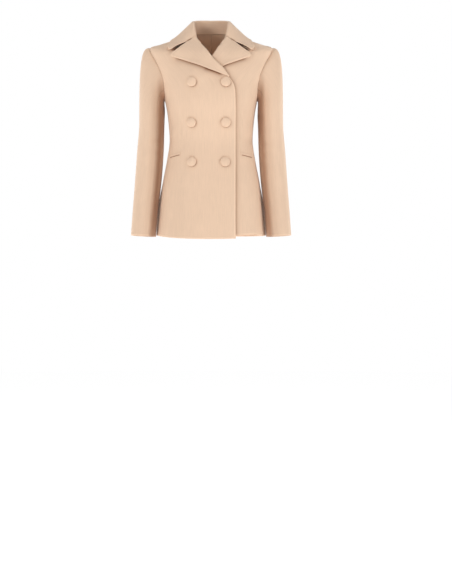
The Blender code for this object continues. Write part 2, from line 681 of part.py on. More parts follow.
def main():
    for old in list(bpy.data.objects):
        bpy.data.objects.remove(old, do_unlink=True)
    for right, side in ((True, "right"), (False, "left")):
        front(right, "front_" + side)
        side_panel(right, "side_panel_" + side)
        back(right, "back_" + side)
        lapel(right, "lapel_" + side)
        sleeve(right, side)
        welt(right, "pocket_welt_" + side)
    collar("collar")
    for i, row in enumerate(BUTTON_ROWS):
        for column in ("outer", "inner"):
            button("button_" + row + "_" + column, BUTTONS[column][i], BUTTONS["z"][i])


main()
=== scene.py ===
"""Short double-breasted coat in fine wool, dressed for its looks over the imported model.

Frame: +X is the wearer's left, -Y is the front and +Z is up. The origin is at the neck, midway between the
two points where the shoulder seams meet the collar. Shapes are worked out in millimetres and degrees.

The body cloth is one smooth surface, body(angle, level). The angle runs round the wearer: 0 at centre front,
90 at the side and 180 at centre back. The level climbs from the hem (0) up to the neck seam (680). Each half
is worked out on its own side, with x growing away from centre front, and the right half is then mirrored.
"""

import bmesh
import bpy
import mathutils
import numpy as np
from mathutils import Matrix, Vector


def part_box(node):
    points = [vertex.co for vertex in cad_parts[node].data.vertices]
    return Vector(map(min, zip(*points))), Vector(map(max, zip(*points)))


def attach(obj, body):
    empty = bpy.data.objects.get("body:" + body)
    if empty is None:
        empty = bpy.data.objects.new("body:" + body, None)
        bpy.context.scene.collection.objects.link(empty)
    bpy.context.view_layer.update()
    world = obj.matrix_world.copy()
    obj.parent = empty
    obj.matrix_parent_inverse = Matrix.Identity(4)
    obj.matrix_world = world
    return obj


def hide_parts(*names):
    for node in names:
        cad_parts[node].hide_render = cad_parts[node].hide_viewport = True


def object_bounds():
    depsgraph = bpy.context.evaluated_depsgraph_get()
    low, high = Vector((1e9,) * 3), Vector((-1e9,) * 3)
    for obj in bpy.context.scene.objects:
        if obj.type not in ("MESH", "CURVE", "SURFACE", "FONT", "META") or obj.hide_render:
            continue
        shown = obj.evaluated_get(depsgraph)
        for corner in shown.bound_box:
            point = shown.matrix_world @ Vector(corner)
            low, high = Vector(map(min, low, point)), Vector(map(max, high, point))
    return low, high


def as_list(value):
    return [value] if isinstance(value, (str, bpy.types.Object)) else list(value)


bl_info = {
    "name": "Short fitted coat",
    "version": (1, 0, 0),
    "blender": (4, 5, 0),
    "location": "View3D > Sidebar > Coat",
    "description": "Dresses a packed coat in fine wool with seams, darts, pressed edges and covered buttons",
    "category": "Object",
}

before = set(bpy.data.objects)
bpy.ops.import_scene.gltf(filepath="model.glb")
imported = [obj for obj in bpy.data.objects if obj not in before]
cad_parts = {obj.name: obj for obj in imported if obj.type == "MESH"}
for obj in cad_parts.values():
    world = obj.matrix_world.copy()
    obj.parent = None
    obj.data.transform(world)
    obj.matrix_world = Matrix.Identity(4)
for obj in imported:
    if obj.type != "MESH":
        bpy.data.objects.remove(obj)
CAD_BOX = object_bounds()
MM = 0.001
SIDES = ((False, "left"), (True, "right"))      # whether it is the right side, and its word in pieces' names


def table(columns, *rows):
    """A table as a dictionary of its named columns; the first column is the one it is read by."""
    return {name: np.array(values, float) for name, values in zip(columns.split(), zip(*rows))}


# Cloth and seams
CLOTH = 2.2             # body and sleeve wall
LAPEL_CLOTH = 3.2       # lapel and collar: two layers turned together
GRAIN = 2.6             # size of a cell of the cloth meshes
ROW_GRAIN = 1.25        # cells of the body cloth are this much longer than wide
SEAM_CELLS = (0.7, 1.5, 2.6, 4.0)       # distances of the lines of cells beside a seam or an edge
SEAM_CLEAR = 1.2        # even cells start at this share of the last of them
FRONT_WIDTH, PANEL_WIDTH, BACK_WIDTH = 230, 98, 190     # usual widths, by which their columns are spaced
SQUARENESS = 2.35       # 2 would make every body section an ellipse
SAG = 1.6               # how roundly a level dips from the side to centre front and centre back
SMALL_ANGLE = 0.4       # steps over which slopes of the body cloth are measured
SMALL_LEVEL = 1.0
FIND_STEPS = 14         # rounds of the search for a point of the front
FIND_ANGLE, FIND_LEVEL = 8, 30      # the furthest that one round moves
FIND_SIDE = 0.97        # the search starts within this share of the half width

# Front closing
EDGE_X = 73.5           # the closing edge stands this far past centre front
OVERLAP_LIFT = 3.2      # the right front lies this far over the left one
LAPEL_LIFT = 5.0        # and this much more where the left lapel lies between them
LAPEL_UNDER = ((-10.0, -97.0, 20.0), (42.0, -136.0, 5.5))   # that place on the right front: x, z, half width
LIFT_EASE = 42.0        # how far that extra lift takes to die away
OVER_EASE = 45.0        # how far the first lift takes to die away past the closing edge and above OVER_TOP
OVER_TOP = -75.0        # the height where it starts to do so
HEM_STEP = 8.5          # the left front's hem is this much shorter
HEM_STEP_END = (45.0, 25.0)     # the angle where the step starts to die away, and the angle that takes

# Buttons
BUTTON_SEAT = 0.7       # how far a button's flat underside is clear of the cloth
SHANK_SHARE = 0.285     # the shank's share of the button's radius
SHANK_GAP = 0.3         # between the shank and the cloth it is sewn to
SHANK_FOOT = (0.7, 0.3) # the foot's share of the shank's radius, and its height
SHANK_END = 0.2         # how far below the underside the shank stops being straight
BUTTONS = ["button_" + row + column for row in ("top", "middle", "bottom") for column in ("_outer", "_inner")]

# Pocket welts, slanting down to the side: (angle, level) at the inner and the outer end
WELT_ENDS = ((39.0, 250.3), (66.0, 244.2))
WELT_WIDTH = 8.0
WELT_THICK = 1.4
WELT_SEAT = 0.7
WELT_LENGTH = 82        # usual length, by which its cells are spaced
WELT_CELLS = (1.2, 2.4) # distances of the lines of cells beside its ends
WELT_ROWS = (1.0, 0.92, 0.75, 0.5, 0.25, 0.1, 0.0)      # shares of the width up from the lower edge
WELT_THIN = (0.15, 0.7)     # the lower edge's share of the thickness, and over how much of the width it grows
WELT_TAPER = (0.2, 5.0)     # the ends' share of it, and the length over which it grows

BODY = table(
    "level front_z side_z back_z half_width front_depth back_depth side_y",
    (0,   -632, -617, -616, 168.5, 120, 127, 3),    # hem
    (80,  -541, -540, -540, 161.5, 117, 125, 3),    # seat
    (160, -461, -460, -460, 150.0, 112, 113, 1),    # hip
    (235, -385, -385, -385, 135.5, 106, 98, 0),     # pockets
    (285, -335, -335, -335, 128.0, 104, 89, -2),    # waist
    (340, -280, -280, -280, 130.5, 113, 94, -2),    # midriff
    (415, -205, -205, -205, 142.0, 128, 106, 0),    # bust
    (440, -180, -180, -180, 149.0, 127, 109, 0),    # armpit
    (490, -136, -125, -125, 166.0, 119, 110, 0),    # chest
    (535, -98, -78, -80, 182.0, 109, 105, 1),       # shoulder blades
    (572, -71, -40, -51, 187.5, 100, 98, 2),        # shoulder point
    (598, -58, -31, -35, 160.0, 91, 92, 3),
    (625, -46, -20, -18, 128.0, 81, 84, 5),         # middle of the shoulder seam
    (680, -26, 4, 12, 70.0, 65, 58, 8),             # neck seam
)
NECK_LEVEL = 680
SIDE_ANGLE, CENTRE_BACK = 90.0, 180

# The armhole, from the underarm to the shoulder point, up the front and up the back
ARMHOLE = table(
    "level front_angle back_angle",
    (414, 90.0, 90.0),
    (419, 82.0, 98.0),
    (429, 75.0, 104.5),
    (443, 70.5, 109.0),
    (480, 63.8, 113.3),
    (500, 64.0, 113.0),
    (521, 66.0, 111.0),
    (540, 71.5, 107.0),
    (558, 79.0, 100.5),
    (572, 90.0, 90.0),
)
SIDE_SEAM_ROW = 3       # the row of ARMHOLE where the front, the side panel and the back meet
UNDERARM, SIDE_TOP, SHOULDER = ARMHOLE["level"][[0, SIDE_SEAM_ROW, -1]]
ARMHOLE_PLACES = 720    # places of the fine line that the edges of the panels are read from
ARMHOLE_MARGIN = 8.0    # how far past the row's level its lower and its upper part are kept

# The front's edge from the closing edge up the fold of the lapel to the gorge seam. The right front's edge
# lies past centre front as far as x is above 0.
EDGE = table(
    "z x",
    *((z, EDGE_X) for z in (-614, -540, -460, -385, -335, -280, -224)),
    (-200, 73.0), (-178, 71.0), (-161, 65.5), (-146, 54.5), (-131, 41.5), (-118, 28.5),
    (-98, 7.5), (-82, -5.5), (-47, -31.0), (-30, -41.0), (-15, -47.0),
)
BREAK_LEVEL = 480       # where the lapel starts to turn out
BREAK_Z = -146.0        # the height of that place
UNDER_Z = -78.0         # the left lapel is pressed flat below this height, under the right front
OPENING = 30.0          # how far up the fold takes to open from pressed to soft
LAPEL_GAIN = 0.25       # the share of the lapel's length over which it gains its full thickness

# The lapel's outline on its own side of the front, as (x, z), and the collar's front end
LAPEL_BREAK = (-40, -140)
LAPEL_LOW = ((-22, -134), (8, -124), (50, -106), (104, -85), (112, -82))
LAPEL_TIP = ((112, -82), (117.5, -77.5), (114.5, -70))
NOTCH = (67.0, -31.0)
COLLAR_END = ((115.5, -61.0), (125.5, -60.0))

# The fold: how far past the front's edge, and how far out, the middle of the cloth is
FOLD = table(
    "open_past open_out pressed_past pressed_out",
    (0.3, -1.1, 0.3, -1.1),
    (2.6, -0.6, 1.9, -0.7),
    (4.0, 1.9, 2.5, 0.75),
    (2.9, 4.8, 1.9, 2.1),
    (0.0, 6.2, 0.0, 2.65),
)
FOLD_EASE = 24.0        # the lapel settles onto the front over this distance
LAPEL_REST = 3.0        # where the middle of the lapel settles, out from the front
BREAK_REST = 2.1        # and the same at the break, where it is as thin as the front

# How much further the lapel stands off the front along its lower and its top edge, which starts at the gorge
LAPEL_RAISE = table(
    "across low top",
    (0.00, 0.0, 0.0),
    (0.15, 2.6, 0.0),
    (0.31, 3.8, 1.8),
    (0.60, 3.0, 5.0),
    (0.85, 1.6, 6.0),
    (1.00, 0.9, 5.2),
)
RAISE_RUN = (22.0, 26.0)    # how far from the lower and from the top edge this dies away
RAISE_CLEAR = (6.0, 24.0)   # the left lapel rises only this far past the right front's edge, over this run
NOTCH_HOLLOW = (11.0, -5.0) # width and depth of the hollow of the front behind the notch
NOTCH_PLACES = 9            # places of its line, with the two ends
NOTCH_BOW = (-4.3, 1.6)     # how far the lapel's and the collar's side of the notch bow away from each other
NOTCH_SKEW = 1.4            # how much further out than half way they do so most

# The collar, round half the neck from the gorge to centre back
COLLAR = table(
    "neck_angle fold_x fold_y fold_z mid_angle mid_level mid_out edge_angle edge_level",
    (40, 46, -52, -8, 39, 632, 5, 38.5, 586),
    (51, 49, -35, 11, 47, 638, 6, 45.5, 587),
    (62, 50.5, -21, 24, 61, 644, 6, 57, 608),
    (76, 51.5, -6, 34, 76, 649, 7, 73, 626),
    (90, 52, 8, 40, 90, 652, 8, 90, 637),
    (110, 49, 26, 45, 110, 656, 9, 110, 635),
    (135, 38, 42, 49, 135, 657, 12, 135, 630),
    (160, 18, 51, 51, 160, 655, 11, 160, 623),
    (180, 0, 53, 51, 180, 654, 11, 180, 620),
)
COLLAR_REST = 4.0       # where the middle of the collar's edge settles, out from the body
FOLD_TURN = 3.2         # half the distance between stand and fall at the collar's fold
FOLD_ROUND = (0.6, 0.7)     # how far the fold's two inner places stand out and down, in FOLD_TURNs
STAND_MIDDLE = 0.45     # where the stand's middle row lies on its way up

# The sleeve below the cap, in level sections this far below the neck
SLEEVE = table(
    "drop centre_x centre_y half_width half_depth",
    (228, 182.0, 3, 39.5, 60),      # upper arm
    (290, 183.5, 5, 39.0, 57),
    (350, 186.8, 4, 40.8, 53),      # elbow
    (410, 190.5, -1, 41.2, 50),
    (470, 195.0, -9, 40.6, 47),
    (540, 201.3, -18, 39.3, 45),
    (618, 207.2, -27, 38.5, 44),    # cuff
)
CUFF_TILT = 4.0         # the cuff's inner side hangs this much lower
CAP_REACH = (3.0, 23.5)     # how far the sleeve first runs outward, at the underarm and at the shoulder
CAP_RISE = 4.0              # how much the padded sleeve head stands up
CAP_START = 2.0             # how far the sleeve goes on straight out of the armhole first
CAP_OUTWARD = 40.0          # how strongly its first run leans outward
CAP_DROP = (0.45, 0.88)     # share of the cap's height over which it hangs straight, at the same two places
CAP_LENGTH = 170        # the cap's usual length, by which its rings are spaced
CAP_GRAIN, SLEEVE_GRAIN = 1.1, 1.15     # cells of the cap and of the rest are this much longer than wide
SLEEVE_SEAMS = (3, 13)      # places of the seams, in steps of the armhole's points from the underarm

# The dart of each front, from under the bust to the pocket's inner end, as (angle, level)
DART = ((40.5, 404.0), (41.0, 360.0), (41.5, 320.0), (41.0, 280.0), (40.5, 249.0))

# Soft folds of the body cloth. They keep clear of the overlap of the fronts.
BODY_FOLDS = table(
    "right start_angle start_level mid_angle mid_level end_angle end_level width depth",
    (1, 66, 474, 60, 452, 55, 424, 13, -1.3),       # from the front of the armhole
    (1, 47, 352, 60, 340, 80, 346, 15, -1.1),       # below the bust
    (1, 46, 306, 62, 296, 88, 304, 12, -1.3),       # at the waist
    (1, 50, 276, 66, 272, 84, 280, 11, -0.8),
    (1, 54, 16, 56, 100, 57, 196, 26, 1.6),         # flare over the hip
    (1, 74, 4, 77, 84, 79, 168, 20, -1.7),
    (1, 93, 0, 93, 76, 92, 158, 13, 2.2),           # over the hip, beside the sleeve
    (0, 67, 470, 62, 448, 58, 414, 14, -1.5),
    (0, 48, 358, 63, 350, 82, 352, 13, -0.9),
    (0, 45, 300, 60, 292, 90, 298, 13, -1.4),
    (0, 56, 10, 57, 90, 56, 186, 24, 1.4),
    (0, 76, 2, 78, 78, 80, 150, 22, -1.8),
    (0, 94, 0, 93, 72, 92, 150, 13, 2.2),
    (1, 111, 496, 122, 462, 131, 418, 17, -1.9),    # below the shoulder blade
    (1, 106, 318, 128, 306, 158, 312, 14, -1.6),    # across the small of the back
    (1, 112, 284, 134, 280, 170, 290, 12, -1.2),
    (1, 150, 6, 148, 96, 144, 182, 27, 1.9),        # flare below it
    (1, 126, 4, 124, 70, 121, 142, 21, -1.6),
    (0, 110, 492, 120, 456, 128, 404, 16, -1.7),
    (0, 104, 322, 130, 312, 164, 322, 15, -1.8),
    (0, 116, 290, 138, 288, 166, 294, 11, -1.0),
    (0, 152, 4, 151, 84, 147, 166, 25, 1.7),
    (0, 124, 6, 122, 64, 120, 124, 20, -1.5),
)

# Soft folds of the sleeves: the turn is 0 at the underarm side, 90 in front, 180 outside and 270 behind
SLEEVE_FOLDS = table(
    "right start_turn start_z mid_turn mid_z end_turn end_z width depth",
    (1, -12, -206, 22, -226, 66, -262, 14, -1.6),   # below the underarm
    (1, 22, -322, 66, -334, 112, -350, 11, -1.5),   # inside the elbow
    (1, 14, -354, 60, -366, 104, -366, 10, -1.3),
    (1, 30, -398, 74, -398, 128, -408, 13, -0.9),
    (1, 112, -84, 104, -130, 98, -190, 19, -1.1),   # down from the sleeve head
    (1, 206, -352, 250, -366, 300, -352, 14, -1.5), # behind the elbow
    (1, 214, -402, 262, -410, 318, -396, 12, -1.1),
    (1, 250, -150, 262, -206, 276, -268, 20, -1.5),
    (0, -14, -212, 18, -236, 60, -276, 15, -1.7),
    (0, 18, -330, 62, -340, 110, -344, 12, -1.6),
    (0, 24, -362, 70, -376, 116, -382, 10, -1.1),
    (0, 20, -420, 62, -416, 110, -428, 14, -0.9),
    (0, 118, -90, 108, -140, 104, -206, 20, -1.2),
    (0, 210, -346, 256, -358, 304, -348, 13, -1.6),
    (0, 216, -388, 258, -402, 312, -400, 13, -1.0),
    (0, 246, -140, 258, -200, 270, -262, 21, -1.4),
)

FOLD_PLACES = 15        # places of a fold's line
FOLD_ENDS = 0.8         # how bluntly it dies away at its ends
FOLD_SWELL = (0.35, 1.9, 0.9)   # depth, distance and width of the swell beside a fold, against the fold's own

# How finely the cloth is meshed, and how its seams and edges are worked
NOTCH_AT = 0.31         # the share of a lapel's top edge where the notch begins
NOTCH_CELLS = 11        # cells up to there
FALL_WIDTH = 80         # usual width from there to the edge, by which its cells are spaced
COLLAR_BEND = 0.86      # the share of the collar's end where it has passed the lapel
FOLD_CELLS = 20         # cells across the fold of a lapel or the collar's stand
SLEEVE_CELLS = 6        # cells between two of the armhole's points
COLLAR_HALF_STRIPS = 40
COLLAR_END_EASE = 20.0  # the angle round the neck over which the collar's front end eases into the rest
PANEL_EASE = 0.9        # the share of the side panel's length above which its rows follow the armhole
HEM_STEP_ROWS = 42.0    # how far up the left front's shorter hem is evened out
EDGE_ROUND = 0.7        # how roundly a turned edge bulges, against half its thickness
ROUND_WITHIN = 0.4      # the rim is a turned edge where it is this near to one
RIM_TURNS = (45, 90, 135)       # its rings, in degrees round it
DART_DEPTH, DART_WIDTH = 0.7, 3.4       # the shallow valley along a dart
DART_PLACES = 25        # places of its line
DART_FAINT = 0.9        # darts, and the sleeves' front and hind seams, are pressed so flat that they are
SLEEVE_FAINT = (5.5, 1.8)       # marked as if they lay this much further away
SMALLEST_CUT = 10.5     # a welt is cut at least this wide, with a turning
FAR = 1000.0            # the distance that is kept where there is no such line
CLOTH_MAP = "cloth"     # the map that holds each point's place on the flat cloth
BUTTON_SCALE = 0.965    # the covers are drawn this much tighter than the solids
BUTTON_SIDES = 96
BUTTON_PROFILE = table(
    "radius height",    # as shares of the button's radius and height
    (0.00, 0.00), (0.60, 0.00), (0.88, 0.01),       # underside
    (0.955, 0.05), (0.99, 0.13), (1.00, 0.23), (0.99, 0.33), (0.96, 0.43),      # rolled rim
    (0.91, 0.52), (0.85, 0.585), (0.76, 0.68), (0.64, 0.78), (0.50, 0.87),      # dome
    (0.34, 0.94), (0.17, 0.985), (0.00, 1.00),
)
GATHERS = 22            # small gathers of the cover round a button's rim
GATHER_DEPTH = 0.012    # as a share of the radius
GATHER_UNEVEN = (1.3, 3)        # how far and how often round the rim their spacing wanders
GATHER_START = (0.7, 0.2)       # they start at this share of the radius, and over this
GATHER_END = (0.45, 0.3)        # and end at this share of the height, and over this

# Painted shade where cloth lies over cloth, near black in the notch: the width of the shaded strip, its
# strength and how far its ends fade
NOTCH_SHADE = (9.0, 1.0, 0.12, 4)   # the fourth number makes its middle flatter
LAPEL_SHADE = (5.0, 0.58, 0.10)
BREAK_SHADE = (5.5, 0.88, 0.22)     # more of it by the break of the upper lapel
BREAK_PLACES, LOW_PLACES = 28, 61   # that is over this many of the places along the lapel's lower edge
WELT_SHADE = (2.2, 0.75, 0.12, 4)
EDGE_SHADE = (6.5, 0.50)            # along the right front's edge, read at this many places
EDGE_PLACES = 81
GORGE_SHADE = (1.3, 0.85, 0.4)      # along the gorge seam round the notch's start, over these cells
GORGE_CELLS = slice(FOLD_CELLS + 4, FOLD_CELLS + 17)
BUTTON_SHADE = (2.2, 0.56, 0.35)
BUTTON_SHADED = (130, 340)          # the part of a button's rim, in degrees, below which its painted shadow lies
BUTTON_IN, BUTTON_PLACES = 0.5, 33  # how far inside the rim the line lies, and its places
SIDE_SHADE, SIDE_REACH = 1.0, 8.0   # strength and reach of the painted shade on the notch's own sides

# Painted shade on the sleeves towards the body, by the share of the half width that a place lies inward
SLEEVE_SHADE = (0.50, 0.33, 0.42)   # its strength, where it starts, and over how much it deepens
SLEEVE_ROUND = (0.12, 0.33, 0.38)   # strength, middle and reach of a fainter painted shade where the sleeve turns away
SLEEVE_RIM = (0.7, 0.72, 0.26)      # how much less painted shade there is at the rim, where light comes past the waist
SLEEVE_RIM_Z = (-410.0, 95.0)       # middle and reach of the heights where it does
CAP_LOW, CAP_LOW_RUN = -105.0, 95.0     # the sleeve faces the body below this height

SHADED = (0.42, 0.28, 0.22)     # shares of red, green and blue that the painted shade leaves at two thirds of its depth
DEEPEST_SHADE = (0.05, 0.006, 0.001)     # and at its full depth, painted near black

# The cloth's finish: scale, detail and roughness of its noises, then the widths of its worked lines in
# millimetres, the heights of what it shows in metres, and the shares these have in its tone
NOISES = {"nap": (720.0, 4.0, 0.65), "fibre": (2100.0, 2.0), "mottle": (26.0, 3.0), "cloud": (7.0, 1.0)}
SLUB = (340.0, 20.0, 1.0)       # how much finer the slubs are across the cloth than along it
TWILL = (0.8, 0.6)              # the way across the twill's ribs
PICK = (0.8, 0.35)              # the pitch of the picks against the ribs', and how deeply they cut them
GROOVE_WIDTH, STITCH_WIDTH, ROLL_WIDTH = 0.75, 0.8, 2.4
ROLL_AT = 0.45                  # where a pressed edge is fullest, as a share of the way to its worked line
PUCKER = (6.0, 11.0, 8.0)       # width beside a seam, length of one pucker, and how far the length wanders
RELIEF = {"weave": 4.5e-5, "nap": 6.0e-5, "fibre": 2.0e-5, "slub": 1.5e-5}
SEWN_RELIEF = {"mottle": 1.8e-4, "roll": 1.2e-4, "groove": -4.5e-4, "pucker": 1.4e-4}
STITCH_RELIEF = (-1.6e-4, -2.6e-4)      # of plain and of turned cloth
TONES = {"mottle": 0.30, "slub": 0.75, "nap": 0.25, "cloud": 0.22, "weave": 0.18}
TONE_MIDDLE, TONE_RANGE = 0.518, (0.90, 1.10)
EDGE_HIGHLIGHT = (0.35, 0.08)       # painted highlight: how much lighter plain and turned cloth are drawn between the edge and its line
EDGE_HIGHLIGHT_COLOUR, LINE_COLOUR = 1.22, 0.45   # the colour's shares in that painted highlight, and in the worked lines
# darker worked lines: painted shade in the sunk seams' groove, and the stitched line
LINE_DARK = {"groove": 0.30, "stitch": 0.16}

# The stage, in metres from the neck
LIGHTS = (
    ("left_light", (-2.1, -2.1, 0.7), (0.8, 0.8)),
    ("right_light", (2.5, -1.4, 0.4), (0.8, 1.0)),
    ("top_light", (0.0, -0.5, 3.0), (2.5, 2.5)),
    ("back_light", (-2.8, 3.0, 0.2), (2.4, 2.4)),
    ("back_light", (2.8, 3.0, 0.2), (2.4, 2.4)),
)
FLOOR_SIDES = 96
CAMERA_X, CAMERA_Z = 0.0457, -0.792
SENSOR = 36.0           # the camera's width of film, in millimetres
WHITE = (1.0, 1.0, 1.0, 1.0)


def unit(vectors):
    """The vectors at length 1."""
    return vectors / np.maximum(np.linalg.norm(vectors, axis=-1, keepdims=True), 1e-9)


def smooth_step(value):
    """0 below 0, 1 above 1 and a soft S between them."""
    t = np.clip(value, 0, 1)
    return t * t * (3 - 2 * t)


def bell(value, power=2):
    """1 at 0, falling away on both sides; a higher power makes its top flatter."""
    return np.exp(-(value**power))


def full_turn(count):
    """Evenly spaced angles all the way round, in radians."""
    return np.linspace(0, 2 * np.pi, count, endpoint=False)


def smooth_value(keys, values, at):
    """Smooth curve through (key, value) pairs, read at one place or an array of places."""
    step = np.diff(keys)
    rise = np.diff(values) / step
    slope = np.empty(len(keys))
    slope[1:-1] = (rise[:-1] * step[1:] + rise[1:] * step[:-1]) / (step[:-1] + step[1:])
    slope[0], slope[-1] = rise[0], rise[-1]
    at = np.asarray(at, float)
    i = np.clip(np.searchsorted(keys, at, side="right") - 1, 0, len(step) - 1)
    t = (at - keys[i]) / step[i]
    inside = np.clip(t, 0, 1)
    curve = (
        (2 * inside**3 - 3 * inside**2 + 1) * values[i]
        + (inside**3 - 2 * inside**2 + inside) * step[i] * slope[i]
        + (3 * inside**2 - 2 * inside**3) * values[i + 1]
        + (inside**3 - inside**2) * step[i] * slope[i + 1]
    )
    past = (t - inside) * step[i]
    return curve + past * np.where(t < 0, slope[i], slope[i + 1])


def row_at(rows, at):
    """All columns of a table, read smoothly at a value, or an array of values, of its first column."""
    keys = next(iter(rows.values()))
    return {name: smooth_value(keys, values, at) for name, values in rows.items()}


def lengths_along(points):
    """Distance of each point of a line from its first one."""
    return np.concatenate([[0], np.cumsum(np.linalg.norm(np.diff(points, axis=0), axis=1))])


def along_line(points, share):
    """Points at the given shares of the length of a line of points."""
    points = np.asarray(points, float)
    length = lengths_along(points)
    at = np.asarray(share, float) * length[-1]
    return np.stack([np.interp(at, length, points[:, i]) for i in range(points.shape[1])], -1)


def smooth_line(points, share):
    """The same on a smooth curve through the points."""
    points = np.asarray(points, float)
    length = lengths_along(points)
    at = np.asarray(share, float) * length[-1]
    return np.stack([smooth_value(length, points[:, i], at) for i in range(points.shape[1])], -1)


def shares(length, cell=GRAIN, near=SEAM_CELLS, start=True, end=True):
    """Shares of a length about a cell apart, with closer ones beside the ends where a seam or an edge is."""
    even = np.linspace(0, 1, max(2, int(round(length / cell)) + 1))
    near = np.array(near) / length
    low = near if start else near[:0]
    high = 1 - near if end else near[:0]
    first = near[-1] * SEAM_CLEAR if start else -1
    last = 1 - near[-1] * SEAM_CLEAR if end else 2
    middle = even[(even > first) & (even < last)]
    return np.unique(np.concatenate([[0.0, 1.0], low, middle, high]))


# Shares across a lapel or the collar's fall, closer together beside its edge, with the notch among them
ACROSS = np.concatenate([
    np.linspace(0, NOTCH_AT, NOTCH_CELLS, endpoint=False),
    NOTCH_AT + (1 - NOTCH_AT) * shares(FALL_WIDTH, start=False),
])


# --- the coat's surfaces -------------------------------------------------------------------------------


def body(angle, level):
    """Point of the body cloth's outer face; angles below 0 are past centre front."""
    column = row_at(BODY, level)
    turn = np.radians(np.asarray(angle, float))
    power = 2 / SQUARENESS
    across = np.sign(np.sin(turn)) * np.abs(np.sin(turn)) ** power
    along = np.abs(np.cos(turn)) ** power
    front = np.cos(turn) >= 0
    x = column["half_width"] * across
    y = column["side_y"] + np.where(front, -column["front_depth"], column["back_depth"]) * along
    end_z = np.where(front, column["front_z"], column["back_z"])
    z = column["side_z"] + (end_z - column["side_z"]) * along**SAG
    return np.stack(np.broadcast_arrays(x, y, z), -1)


def body_normal(angle, level):
    """Outward normal of the body cloth."""
    across = body(angle + SMALL_ANGLE, level) - body(angle - SMALL_ANGLE, level)
    up = body(angle, level + SMALL_LEVEL) - body(angle, level - SMALL_LEVEL)
    return unit(np.cross(across, up))


def find_on_front(x, z):
    """(angle, level) of the point of the front that is seen at (x, z) from straight ahead."""
    x, z = np.broadcast_arrays(np.asarray(x, float), np.asarray(z, float))
    level = np.interp(z, BODY["front_z"], BODY["level"])
    share = np.clip(np.abs(x) / row_at(BODY, level)["half_width"], 0, FIND_SIDE)
    angle = np.degrees(np.arcsin(share ** (SQUARENESS / 2))) * np.sign(x)
    angle = np.where(np.abs(angle) < 1, 1.0, angle)
    small_angle, small_level = SMALL_ANGLE / 4, SMALL_LEVEL / 4
    for _ in range(FIND_STEPS):
        here = body(angle, level)
        d_angle = (body(angle + small_angle, level) - here) / small_angle
        d_level = (body(angle, level + small_level) - here) / small_level
        miss_x, miss_z = x - here[..., 0], z - here[..., 2]
        det = d_angle[..., 0] * d_level[..., 2] - d_level[..., 0] * d_angle[..., 2]
        step_angle = (miss_x * d_level[..., 2] - d_level[..., 0] * miss_z) / det
        step_level = (d_angle[..., 0] * miss_z - miss_x * d_angle[..., 2]) / det
        angle = angle + np.clip(step_angle, -FIND_ANGLE, FIND_ANGLE)
        level = level + np.clip(step_level, -FIND_LEVEL, FIND_LEVEL)
    return angle, level


def lift(right, points):
    """How far the front lies out from the body cloth; only the right front is lifted."""
    if not right:
        return np.zeros(points.shape[:-1])
    x, z = points[..., 0], points[..., 2]
    over_left = 1 - smooth_step((x - EDGE_X) / OVER_EASE)
    over_left = over_left * (1 - smooth_step((z - OVER_TOP) / OVER_EASE))
    start, end = np.array(LAPEL_UNDER[0]), np.array(LAPEL_UNDER[1])
    run = (end - start)[:2]
    share = np.clip(((x - start[0]) * run[0] + (z - start[1]) * run[1]) / (run @ run), 0, 1)
    away = np.hypot(x - start[0] - share * run[0], z - start[1] - share * run[1])
    near_lapel = 1 - smooth_step((away - start[2] - share * (end[2] - start[2])) / LIFT_EASE)
    return OVERLAP_LIFT * over_left + LAPEL_LIFT * near_lapel


def off_body(angle, level, out):
    """Point that stands out from the body cloth."""
    return body(angle, level) + body_normal(angle, level) * out


def front_point(right, angle, level, out=0.0):
    """Point of one front, with x growing away from centre front on its own side."""
    return off_body(angle, level, (lift(right, body(angle, level)) + out)[..., None])


def front_at(right, x, z, out=0.0):
    """Point of one front that is seen at (x, z) from straight ahead."""
    return front_point(right, *find_on_front(x, z), out)


def edge_angle(level):
    """Angle of the front's edge at a level; it is the same on both fronts."""
    angles, levels = find_on_front(-EDGE["x"], EDGE["z"])
    levels[0] = 0
    return smooth_value(levels, angles, level)


def armhole_line(count):
    """(angle, level) of places evenly numbered round the armhole, from the underarm by the front."""
    angle = np.concatenate([ARMHOLE["front_angle"], ARMHOLE["back_angle"][-2:0:-1]])
    level = np.concatenate([ARMHOLE["level"], ARMHOLE["level"][-2:0:-1]])
    keys = np.arange(-2, len(angle) + 3)
    at = np.linspace(0, len(angle), count, endpoint=False)
    return [smooth_value(keys, values[keys % len(angle)], at) for values in (angle, level)]


def read_sorted(keys, values, kept, at):
    """Values read at the keys, from the kept places of a line."""
    order = np.argsort(keys[kept])
    return np.interp(at, keys[kept][order], values[kept][order])


def armhole_edge(side, levels):
    """Angle of the front's or the back's edge at levels, up its side seam, armhole and shoulder seam."""
    angle, line_level = armhole_line(ARMHOLE_PLACES)
    past_side = (angle - SIDE_ANGLE) * (1 if side == "front_angle" else -1)
    half = (past_side <= 0.001) & (line_level >= SIDE_TOP - ARMHOLE_MARGIN)
    armhole = read_sorted(line_level, angle, half, levels)
    edge = np.where(levels < SIDE_TOP, ARMHOLE[side][SIDE_SEAM_ROW], armhole)
    return np.where(levels >= SHOULDER, SIDE_ANGLE, edge)


def underarm_level(angle):
    """Level of the armhole where it cuts the side panel."""
    line_angle, level = armhole_line(ARMHOLE_PLACES)
    return read_sorted(line_angle, level, level <= SIDE_TOP + ARMHOLE_MARGIN, angle)


# --- cloth ---------------------------------------------------------------------------------------------


def grid_normals(grid):
    """Normals of a grid of points."""
    rows = np.gradient(grid, axis=0)
    columns = np.gradient(grid, axis=1)
    return unit(np.cross(rows, columns))


